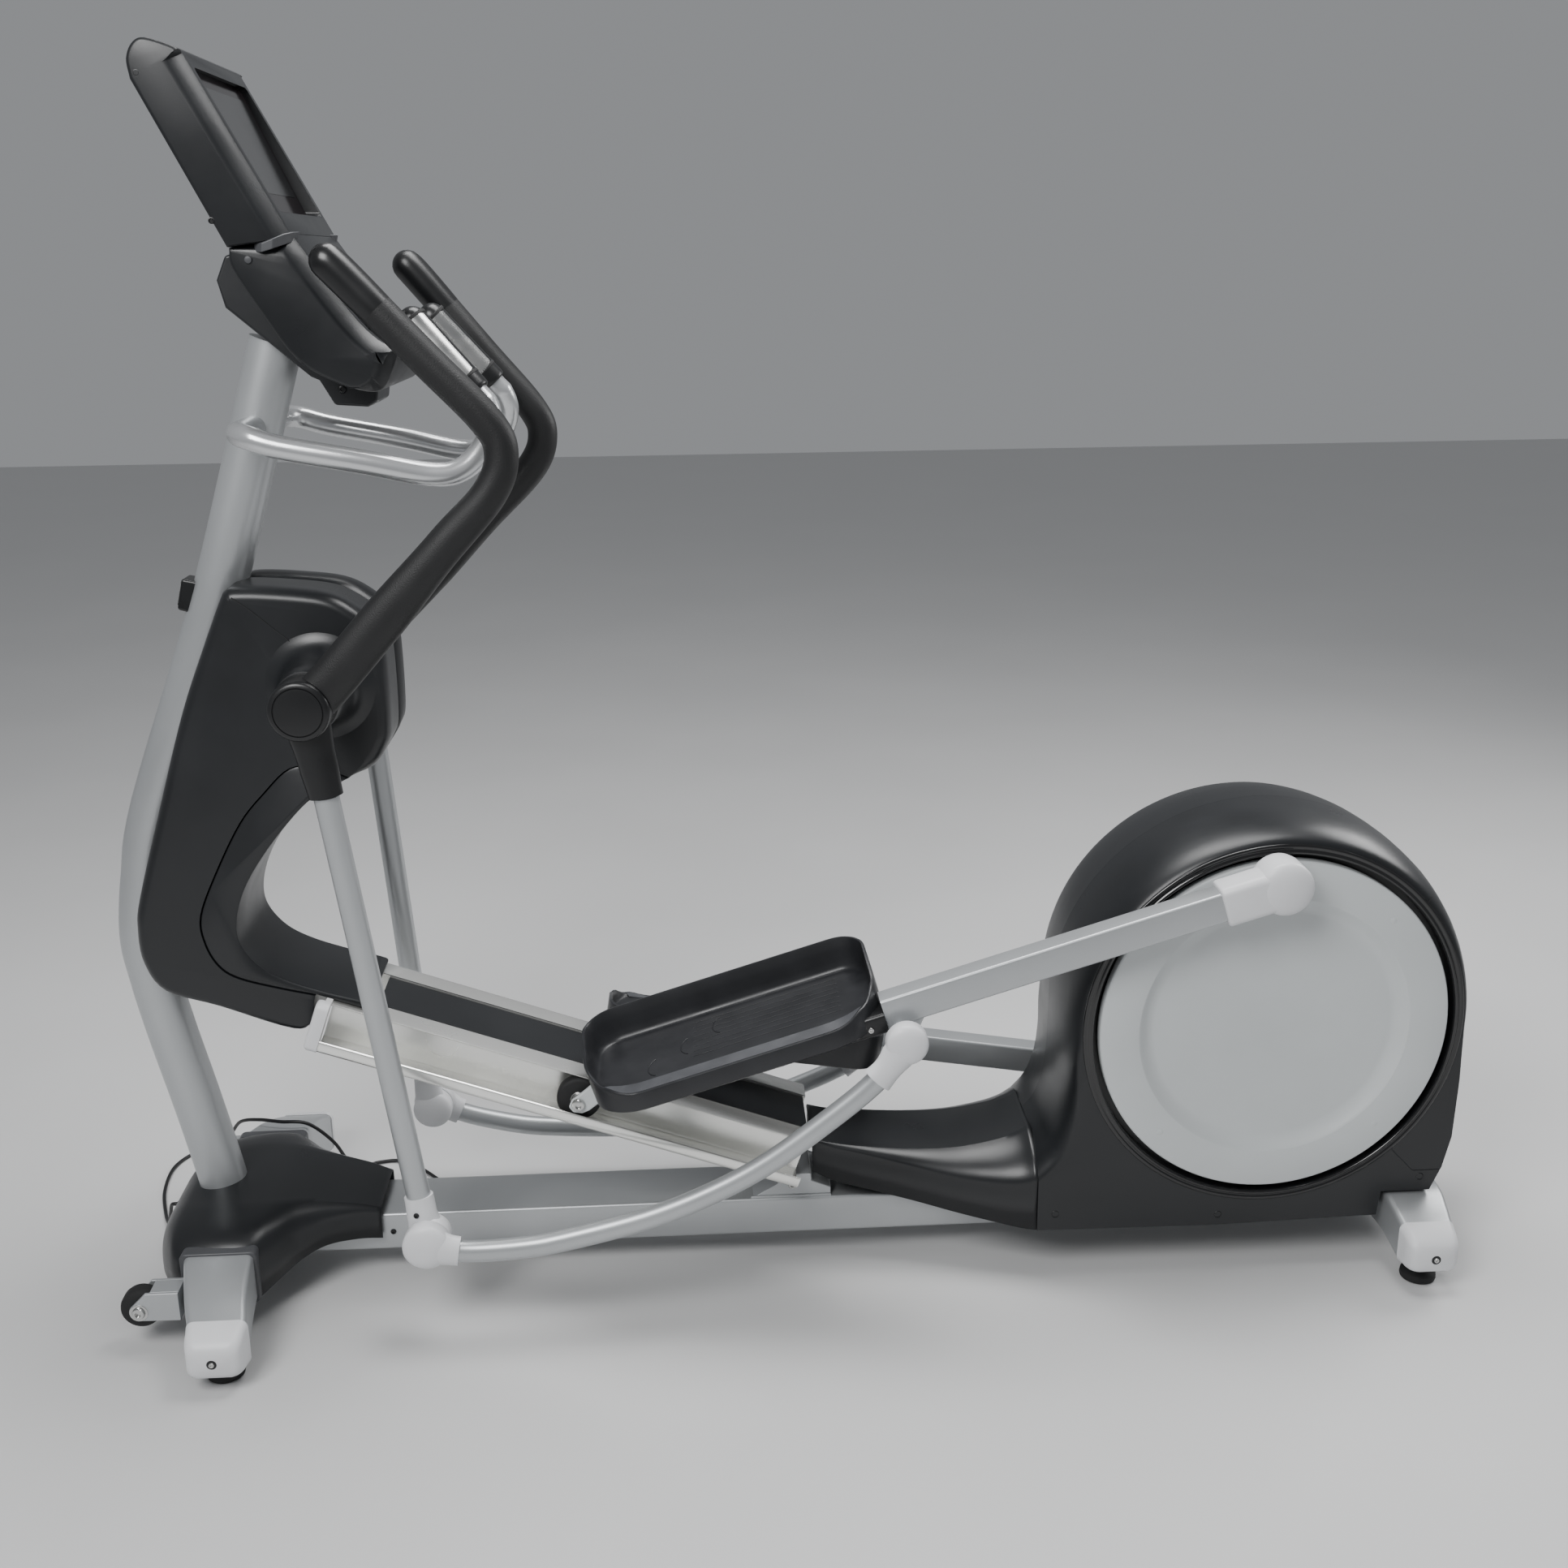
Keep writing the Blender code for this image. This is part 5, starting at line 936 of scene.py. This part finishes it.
def shroud():
    """Two crowned halves, each with a glossy grooved ring round the crank disc."""
    profile = [(0.00015, 0.0), (0.030, 0.0008), (0.060, 0.0028), (0.090, 0.007), (0.108, 0.0108),
               (0.120, 0.0148), (0.129, 0.0190), (0.135, 0.0228), (0.1385, 0.0262), (SHROUD_Y, 0.0290)]
    for name, side in SIDES:
        outer = loft("shroud_" + name, [[(x, side * y, z) for x, z in shroud_outline(CROWN_R - drop)]
                                        for y, drop in profile],
                     charcoal, "frame", ("rear_cover_" + name,), angle=40)
        inner = [(-0.01, 0.005)] + [(min(y, SHROUD_Y - 0.004), drop + 0.005) for y, drop in profile]
        cutter = loft("shroud_cutter", [[(x, side * y, z) for x, z in
                                         offset(shroud_outline(CROWN_R - drop), 0.004)] for y, drop in inner],
                      charcoal, "frame")
        hollow(outer, cutter)
        opening = to_side([(0, 0.10), (OPENING_R, 0.10), (OPENING_R, 0.20), (0, 0.20)], side)
        hollow(outer, turned("shroud_cutter", CRANK, opening, charcoal, "frame", steps=120))
        hollow(outer, loft("shroud_cutter", [[(x, y, z) for y, z in rounded((-0.0556, 0.0), (0.0556, 0.1086),
                                                                           0.002, 1)]
                                             for x in (0.3, 0.93)], charcoal, "frame"))
        ring = [(0.2752, 0.1375), (0.2752, 0.1405), (0.2765, 0.1422), (0.2785, 0.1426), (0.2802, 0.1418),
                (0.2812, 0.1404), (0.2830, 0.1402), (0.2842, 0.1412), (0.2862, 0.1420), (0.2885, 0.1416),
                (0.2902, 0.1404), (0.2905, 0.1375), (0.2752, 0.1375)]
        turned("shroud_ring_" + name, CRANK, to_side(ring, side), gloss, "frame", steps=128, angle=50)
        lip = [(0.2745, 0.1182), (0.2750, 0.1182), (0.2750, 0.1395), (0.2745, 0.1395), (0.2745, 0.1182)]
        well = [(0.262, 0.1165), (0.2900, 0.1165), (0.2900, 0.1180), (0.262, 0.1180), (0.262, 0.1165)]
        turned("shroud_well_" + name, CRANK, to_side(well, side), dark, "frame", steps=96)
        turned("shroud_throat_" + name, CRANK, to_side(lip, side), dark, "frame", steps=96)
        for seam in ([(0.921, 0.601), (0.929, 0.613)], [(0.902, 0.203), (0.922, 0.182), (0.942, 0.161)],
                     [(0.942, 0.161), (0.985, 0.161)]):
            tube("shroud_seam", at_y(seam, side * (SHROUD_Y + 0.0001)), 0.0006, dark, "frame", steps=8)
        for spot in ((0.385, 0.110), (0.640, 0.098), (0.955, 0.150)):
            head = [(0.0062, 0.1402), (0.0056, 0.1407), (0.0045, 0.1402), (0.0045, 0.1375)]
            turned("shroud_screw", spot, to_side(head, side), dark, "frame", steps=24)


def nose():
    """Dished cover over the beam, from the ramp to the crank cover."""
    stations = [(0.016, 0.060, 0.156, 0.057, 0.212, 0.003, 0.001),
                (0.05, 0.064, 0.140, 0.059, 0.203, 0.006, 0.002),
                (0.10, 0.072, 0.128, 0.062, 0.1965, 0.010, 0.003),
                (0.17, 0.086, 0.113, 0.064, 0.1905, 0.020, 0.005),
                (0.24, 0.104, 0.098, 0.064, 0.1905, 0.034, 0.006),
                (0.30, 0.121, 0.088, 0.063, 0.1995, 0.047, 0.006),
                (0.335, 0.131, 0.083, 0.062, 0.2100, 0.055, 0.004),
                (0.3570, 0.1385, 0.083, 0.061, 0.2215, 0.057, 0.001)]
    loops = [deck_loop(*row) for row in spread(stations, 4)]
    add_wall(loft("nose_shell", loops, charcoal, "frame", ("nose_cover",), caps=(False, False),
                  closed=False, angle=24))


def crank():
    """Crank discs with their dished middles, their pins and plugs, and the flywheel inside."""
    dish = [(0.2055 - 0.026 * k / 8, 0.1426 - 0.0130 * sin(pi / 2 * k / 8)) for k in range(9)]
    half = [(0, 0.1296)] + dish[::-1] + [
        (0.2066, 0.1430), (0.2600, 0.1430), (0.2632, 0.1421), (0.2648, 0.1400), (0.2650, 0.1370),
        (0.2650, 0.1245), (0.2640, 0.1240), (0.050, 0.1240), (0.050, 0.1220), (0, 0.1220)]
    pin = [(0, 0.1260), (0.012, 0.1260), (0.012, 0.1498), (0, 0.1498)]
    for name, side, centre in (("left", -1, CRANK_PIN), ("right", 1, 2 * CRANK - CRANK_PIN)):
        turned("disc_" + name, CRANK, to_side(half, side), disc_skin, "crank",
               ("crank_disc_" + name,), steps=144, angle=26)
        turned("pin_" + name, centre, to_side(pin, side), steel, "crank")
        for k in range(4):
            angle = pi / 4 + k * pi / 2
            spot = CRANK + Vector((cos(angle), sin(angle))) * 0.235
            plug = [(0, 0.1433), (0.0042, 0.1433), (0.0050, 0.1430), (0.0050, 0.1415)]
            turned("disc_plug", spot, to_side(plug, side), disc_skin, "crank", steps=24)
    wheel = [(0, -0.055), (0.016, -0.055), (0.016, -0.020), (0.068, -0.020), (0.068, 0.020), (0.016, 0.020),
             (0.016, 0.055), (0, 0.055)]
    turned("flywheel_inside", FLYWHEEL, wheel, steel, "flywheel", ("flywheel",))


# ---------------------------------------------------------------- foot arms and pedals
def on_arm(u, n):
    return (-0.338 + u * cos(ARM_PITCH) - n * sin(ARM_PITCH),
            0.344 + u * sin(ARM_PITCH) + n * cos(ARM_PITCH))


def arm_point(u, y, n):
    x, z = on_arm(u, n)
    return (x, y, z)


def along_arm(name, stations, low, high, corner, skin, replaces=(), **look):
    """Rounded bar along the arm; stations are (u, inset), corners (y, n)."""
    loops = [[arm_point(u, y, n) for y, n in offset(rounded(low, high, corner, 5), inset)]
             for u, inset in stations]
    return both(loft(name, loops, skin, "left_arm", replaces, **look))


HUB_U = (CRANK_PIN - Vector(on_arm(0, 0))).length


def foot_arm():
    along_arm("arm_tube_left", [(0.4706, 0), (HUB_U - 0.02, 0)], (-0.200, -0.0225), (-0.160, 0.0225), 0.0045,
              silver, ("foot_arm_left",))
    along_arm("arm_sleeve_left", [(HUB_U - 0.092, 0.0030), (HUB_U - 0.0905, 0.0010), (HUB_U - 0.088, 0),
                                  (HUB_U - 0.030, 0), (HUB_U - 0.012, -0.0015), (HUB_U, -0.0015)],
              (-0.2075, -0.0310), (-0.1530, 0.0300), 0.012, pale, angle=50)
    hub = dome(0.0400, -0.2130, 0.014)
    hub += [(0.0400, -0.1600), (0.0388, -0.1530), (0.0360, -0.1500), (0, -0.1499)]
    both(turned("arm_hub_left", CRANK_PIN, hub, pale, "left_arm", steps=64, angle=50))
    both(loft("arm_plate_left", [[arm_point(u, y, n) for y, n in rounded((-0.180, -0.022), (-0.127, -0.0035),
                                                                        0.003, 3)] for u in (0.045, 0.4995)],
              silver, "left_arm"))
    outline = [on_arm(0.058, -0.020), on_arm(0.055, 0.004), on_arm(0.020, -0.004), on_arm(0.000, -0.0125),
               on_arm(-0.016, -0.0185), on_arm(-0.0235, -0.0270), on_arm(-0.0200, -0.0370),
               on_arm(-0.0080, -0.0430), on_arm(0.0040, -0.0420), on_arm(0.030, -0.032)]
    both(prism("roller_fork_left", list(reversed(outline)), -0.1175, -0.1095, disc_skin, "left_arm",
               bevel=0.0025))
    both(prism("roller_bridge_left", [on_arm(0.0368, -0.019), on_arm(0.058, -0.019), on_arm(0.058, -0.005),
                                      on_arm(0.0368, -0.005)], -0.150, -0.112, silver, "left_arm",
               bevel=0.0015))
    x, z = LINK_REAR
    lug = [(x - 0.016, z - 0.012), (x + 0.016, z - 0.012), (x + 0.033, z + 0.030), (x - 0.030, z + 0.011)]
    both(prism("link_lug_left", lug, -0.197, -0.175, silver, "left_arm", bevel=0.002))
    both(turned("lug_boss_left", LINK_REAR, [(0, -0.2195), (0.015, -0.2195), (0.015, -0.18), (0, -0.18)],
                silver, "left_arm"))


def rim_height(y):
    """Height of the rim: low lip outside, high wall inside."""
    return blend_value(y, [(-0.226, 0.0115), (-0.200, 0.0235), (-0.165, 0.039), (-0.11, 0.056),
                           (-0.06, 0.066), (-0.02, 0.0690)])


def pedal():
    """Foot tray: rim that climbs from the outer lip to the inner wall, ribs and toe arcs."""
    body = "left_arm"
    plan = rounded((0.026, -0.225), (0.472, -0.025), 0.086, 14, upper=0.052)
    floor = 0.0170
    flat = [blend_value(y, [(-0.2235, 1.0), (-0.180, 0.0)]) for _, y in plan]

    def under_n(y):
        return blend_value(y, [(-0.150, -0.0175), (-0.122, 0.0060), (-0.112, 0.0100)])

    loops = [[arm_point(u, y, under_n(y)) for u, y in offset(plan, 0.006)],
             [arm_point(u, y, under_n(y) + 0.0008) for u, y in offset(plan, 0.0025)],
             [arm_point(u, y, under_n(y) + 0.0032) for u, y in plan],
             [arm_point(u, y, max(under_n(y) + 0.005, rim_height(y) - 0.0022)) for u, y in plan],
             [arm_point(u, y, max(under_n(y) + 0.006, rim_height(y) - 0.0006))
              for u, y in offset(plan, 0.0007)],
             [arm_point(u, y, max(under_n(y) + 0.0065, rim_height(y))) for u, y in offset(plan, 0.0022)]]

    def inside(along, height, lift=0.0):
        """Ring below the rim: a steep filleted wall inside, a flat sloping lip outside."""
        reach = [0.0042 + along * (0.0130 + 0.0060 * f) for f in flat]
        loop = []
        for (u, y), (_, edge_y), f in zip(offset(plan, reach), plan, flat):
            top = max(under_n(edge_y) + 0.0065, rim_height(edge_y))
            share = height * (1 - f) + (1 - along) * f
            loop.append(arm_point(u, y, floor + (top - floor) * share + lift))
        return loop

    for along, height in ((0.0, 1.0), (0.10, 0.93), (0.20, 0.62), (0.30, 0.34), (0.42, 0.15), (0.58, 0.05),
                          (0.78, 0.012), (1.0, 0.0)):
        loops.append(inside(along, height))
    both(loft("tray_left", loops, tray_skin, body, ("pedal_left",), angle=32))
    # The lip: a paler band of painted highlight that narrows as the rim climbs round both outer corners.
    start = next(i for i, (_, y) in enumerate(plan) if y > -0.195)
    order = list(range(len(plan) - start, len(plan))) + list(range(start))
    outer_row, inner_row = inside(0.0, 1.0, 0.0007), inside(1.0, 0.0, 0.0007)
    lip = [[], [], [], []]
    for i in order:
        near, far = Vector(outer_row[i]), Vector(inner_row[i])
        width = 0.04 + 0.90 * flat[i] ** 0.6
        end = near + (far - near) * width
        for row, spot, drop in ((0, near, 0), (1, end, 0), (2, end, 0.0012), (3, near, 0.0012)):
            lip[row].append((spot.x, spot.y, spot.z - drop))
    both(loft("tray_lip_left", [list(ring) for ring in zip(*lip)], lip_highlight_skin, body, angle=50))
    for k in range(8):
        y = -0.172 + 0.016 * k
        rib = [[arm_point(u, y + side, floor - 0.0004 + lift) for u, lift in
                ((0.185, 0.0), (0.189, 0.0011), (0.412, 0.0011), (0.416, 0.0))] for side in (-0.0007, 0.0007)]
        both(loft("tray_rib_left", rib, tray_skin, body, bevel=0.0004))
    for k in range(3):
        toe = [arm_point(0.140 + 0.050 * k - 0.022 * cos(t), -0.170 + 0.038 * k + 0.030 * sin(t),
                         floor + 0.0002)
               for t in [radians(-60 + 120 * i / 20) for i in range(21)]]
        both(tube("toe_arc_left", toe, 0.0010, tray_skin, body, steps=10, start=(0, 0, 1)))
    socket = [(0.405, 0.004), (0.407, 0.001), (0.410, 0), (0.4700, 0), (0.4703, 0.001)]
    along_arm("tray_socket_left", socket, (-0.206, -0.0255), (-0.154, 0.0060), 0.006, dark)
    screw = Vector(on_arm(0.446, -0.0125))
    both(bolt("socket_screw_left", screw.x, -0.2062, screw.y, 0.0045, -1, body))


def roller():
    """Black roller with a steel bearing, its axle bolt and washer."""
    tread = [(0.0128, -0.1022), (0.0290, -0.1022), (0.0318, -0.1012), (0.0333, -0.0990), (0.0337, -0.0960),
             (0.0337, -0.0865), (0.0333, -0.0832), (0.0318, -0.0808), (0.0290, -0.0798), (0.0128, -0.0798),
             (0.0128, -0.1022)]
    both(turned("roller_tyre_left", ROLLER, tread, rubber, "left_roller", ("roller_left",), steps=72,
                angle=50))
    bearing = [(0.0063, -0.1030), (0.0095, -0.1030), (0.0100, -0.1024), (0.0122, -0.1030), (0.0128, -0.1024),
               (0.0128, -0.0796), (0.0063, -0.0790), (0.0063, -0.1030)]
    both(turned("roller_bearing_left", ROLLER, bearing, steel, "left_roller", steps=40))
    both(bolt("axle_head_left", ROLLER.x, -0.1180, ROLLER.y, 0.0100, -1, "left_axle"))
    both(turned("axle_pin_left", ROLLER, [(0, -0.1180), (0.006, -0.1180), (0.006, -0.0775), (0.009, -0.0775),
                                          (0.009, -0.0740), (0, -0.0735)], steel, "left_axle",
                ("roller_axle_left",)))


# ---------------------------------------------------------------- links and handles
def flat_sweep(name, points, y, across, sideways, skin, body, replaces=(), steps=32, **look):
    """Oval tube in a plane of constant y; the half-widths are numbers or one per point."""
    points = [Vector(p) for p in points]
    widths = across if isinstance(across, list) else [across] * len(points)
    depths = sideways if isinstance(sideways, list) else [sideways] * len(points)
    loops = []
    for i, point in enumerate(points):
        along = (points[min(i + 1, len(points) - 1)] - points[max(i - 1, 0)]).normalized()
        normal = Vector((-along.y, along.x))
        loops.append([(point.x + normal.x * widths[i] * cos(t), y + depths[i] * sin(t),
                       point.y + normal.y * widths[i] * cos(t))
                      for t in [2 * pi * k / steps for k in range(steps)]])
    return loft(name, loops, skin, body, replaces, **look)


LINK_BENDS = [LINK_FRONT, (-0.503, 0.148), (-0.42, 0.150), (-0.355, 0.160), (-0.235, 0.190),
              (-0.139, 0.228), (-0.055, 0.275), (0.039, 0.346), (0.098, 0.398), LINK_REAR]


def eye_profile(radius, y0, y1):
    """Drum with a softly domed outer face."""
    return dome(radius, y0, 0.012) + [(radius, y1 - 0.004), (radius - 0.003, y1), (0, y1)]


def link():
    body = "left_link"
    path = flat_smooth(LINK_BENDS, 8)
    both(flat_sweep("link_tube_left", path, LINK_Y, 0.0165, 0.0140, silver, body, ("link_left",)))
    for name, centre, radius in (("front", LINK_FRONT, 0.0345), ("rear", LINK_REAR, 0.0305)):
        both(turned("link_eye_" + name + "_left", centre, eye_profile(radius, -0.2530, -0.2207), pale, body,
                    angle=50))
    front = [p for p in path if p[0] < -0.505]
    last = len(front) - 1
    flare = [0.0320 - 0.0090 * min(1.0, 1.3 * k / last) for k in range(last)]
    deep = [0.0152] * last
    both(flat_sweep("link_sleeve_front_left", front + [front[-1]], LINK_Y, flare + [0.0225, 0.0170],
                    deep + [0.0152, 0.0140], pale, body))
    rear = [p for p in path if p[0] > 0.0925]
    last = len(rear) - 1
    wide = [0.0232 - 0.0026 * sin(pi * min(1.0, 1.6 * k / last)) + 0.0040 * (k / last) ** 3
            for k in range(last + 1)]
    both(flat_sweep("link_sleeve_rear_left", [rear[0]] + rear, LINK_Y, [0.0170] + wide,
                    [0.0140] + [0.0152] * (last + 1), pale, body))


def lower_tube():
    body = "left_swing"
    top, low = Vector((-0.6483, 0.8345)), Vector((-0.568, 0.215))
    both(flat_sweep("swing_tube_left", [top, low, low * 1.05 - top * 0.05], SWING_Y, 0.0175, 0.0142, silver,
                    body, ("lower_tube_left",)))
    points = [low + (top - low) * 0.016, low, (-0.5665, 0.195), (-0.5625, 0.175), LINK_FRONT]
    both(flat_sweep("elbow_sleeve_left", [points[0]] + points, SWING_Y,
                    [0.0180, 0.0212, 0.0215, 0.0222, 0.0250, 0.0290], [0.0145] + [0.0152] * 5, pale, body))
    rim = [(r, -0.2195 - 0.1860 - y) for r, y in eye_profile(0.0320, -0.2195, -0.1860)]
    both(turned("elbow_eye_left", LINK_FRONT, rim, pale, body, angle=50))
    both(bolt("elbow_screw_left", -0.572, SWING_Y - 0.0148, 0.200, 0.0042, -1, body, dark))


HANDLE_BENDS = [(-0.597, 1.534), (-0.592, 1.529), (-0.575, 1.517), (-0.477, 1.411), (-0.403, 1.331),
                (-0.386, 1.288), (-0.404, 1.239), (-0.466, 1.172), (-0.557, 1.072), (-0.635, 0.987),
                tuple(PIVOT)]


def handle():
    """Textured rubber grip with a smooth end knob, round boss and lower socket."""
    body = "left_swing"
    path = flat_smooth(HANDLE_BENDS, 8)
    count = len(path)
    # Half-width in the side view, by bend.
    stations = [(0, 0.0222), (5, 0.0222), (6, 0.0230), (7, 0.0252), (8, 0.0300), (10, 0.0315)]
    wide = [blend_value(i / 8, stations) for i in range(count)]
    # The rubber starts at this point of the path, below the end knob.
    first = 18
    deep = [0.0222 - 0.0030 * max(0.0, i / (count - 1) - 0.62) / 0.38 for i in range(count)]
    both(flat_sweep("handle_grip_left", path[first:-1], HANDLE_Y, wide[first:-1], deep[first:-1], grip_skin,
                    body, ("handle_left",), steps=44))
    both(tube("handle_knob_left", at_y(path[first - 4:first + 3], HANDLE_Y),
              [0.0226, 0.0229, 0.0231, 0.0231, 0.0230, 0.0228, 0.0224], dark, body, steps=44,
              domes=(True, False)))
    boss = [(0, -0.2398), (0.0285, -0.2394), (0.0318, -0.2388), (0.0324, -0.2374), (0.0330, -0.2374),
            (0.0336, -0.2388), (0.0366, -0.2384), (0.0392, -0.2368), (0.0408, -0.2342), (0.0415, -0.2310),
            (0.0415, -0.1930), (0.0400, -0.1880), (0.0375, -0.1857), (0, -0.1856)]
    both(turned("handle_boss_left", PIVOT, boss, dark, body, steps=64, angle=50))
    low = Vector((-0.6484, 0.8363))
    steps = [k / 10 for k in range(11)]
    points = [PIVOT + (low - PIVOT) * t for t in steps]
    across = [blend_value(t, [(0, 0.033), (0.65, 0.0262), (1, 0.0235)]) for t in steps]
    sideways = [blend_value(t, [(0, 0.019), (1, 0.018)]) for t in steps]
    both(flat_sweep("handle_socket_left", points, SWING_Y, across, sideways, dark, body, steps=40,
                    angle=50))


# ---------------------------------------------------------------- right-hand copies
def turned_about(point, centre, angle):
    away = Vector(point) - centre
    return centre + Vector((away.x * cos(angle) - away.y * sin(angle),
                            away.x * sin(angle) + away.y * cos(angle)))


def direction(a, b):
    return atan2(b.y - a.y, b.x - a.x)


def meet(first, r1, second, r2):
    """The lower point where two side-view circles meet."""
    span = second - first
    along = (r1 ** 2 - r2 ** 2 + span.length ** 2) / (2 * span.length)
    unit = span.normalized()
    return first + unit * along + Vector((unit.y, -unit.x)) * sqrt(r1 ** 2 - along ** 2)


def right_hand():
    """Mirrors every left-hand piece and moves it to where the right side stands at rest."""
    lift = direction(ROLLER_RIGHT, LINK_REAR_RIGHT) - direction(ROLLER, LINK_REAR)
    front = meet(PIVOT, (LINK_FRONT - PIVOT).length, LINK_REAR_RIGHT, (LINK_FRONT - LINK_REAR).length)
    still = (Vector((0, 0)), Vector((0, 0)), 0)
    with_arm = (ROLLER, ROLLER_RIGHT, lift)
    moved = {"left_arm": with_arm, "left_roller": with_arm, "left_axle": with_arm,
             "left_link": (LINK_REAR, LINK_REAR_RIGHT,
                           direction(front, LINK_REAR_RIGHT) - direction(LINK_FRONT, LINK_REAR)),
             "left_swing": (PIVOT, PIVOT, direction(PIVOT, front) - direction(PIVOT, LINK_FRONT))}
    for piece in LEFT:
        old, new, angle = moved.get(piece["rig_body"], still)
        copy = piece.copy()
        copy.data = piece.data.copy()
        copy.name = piece.name.replace("left", "right")
        bpy.context.scene.collection.objects.link(copy)
        for vertex in copy.data.vertices:
            x, y, z = vertex.co
            spot = turned_about((x, z), old, angle) + new - old
            vertex.co = (spot.x, -y, spot.y)
        copy.data.flip_normals()
        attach(copy, piece["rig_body"].replace("left", "right"))
        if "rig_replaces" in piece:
            nodes = [node.replace("left", "right") for node in piece["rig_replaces"]]
            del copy["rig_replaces"]
            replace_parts(copy, *nodes)


shroud()
nose()
crank()
foot_arm()
pedal()
roller()
link()
lower_tube()
handle()
right_hand()
for node, skin in (("crank_pulley", steel), ("drive_belt", rubber), ("cord_relief", rubber),
                   ("cord_plug", jacket)):
    paint_node(node, skin)
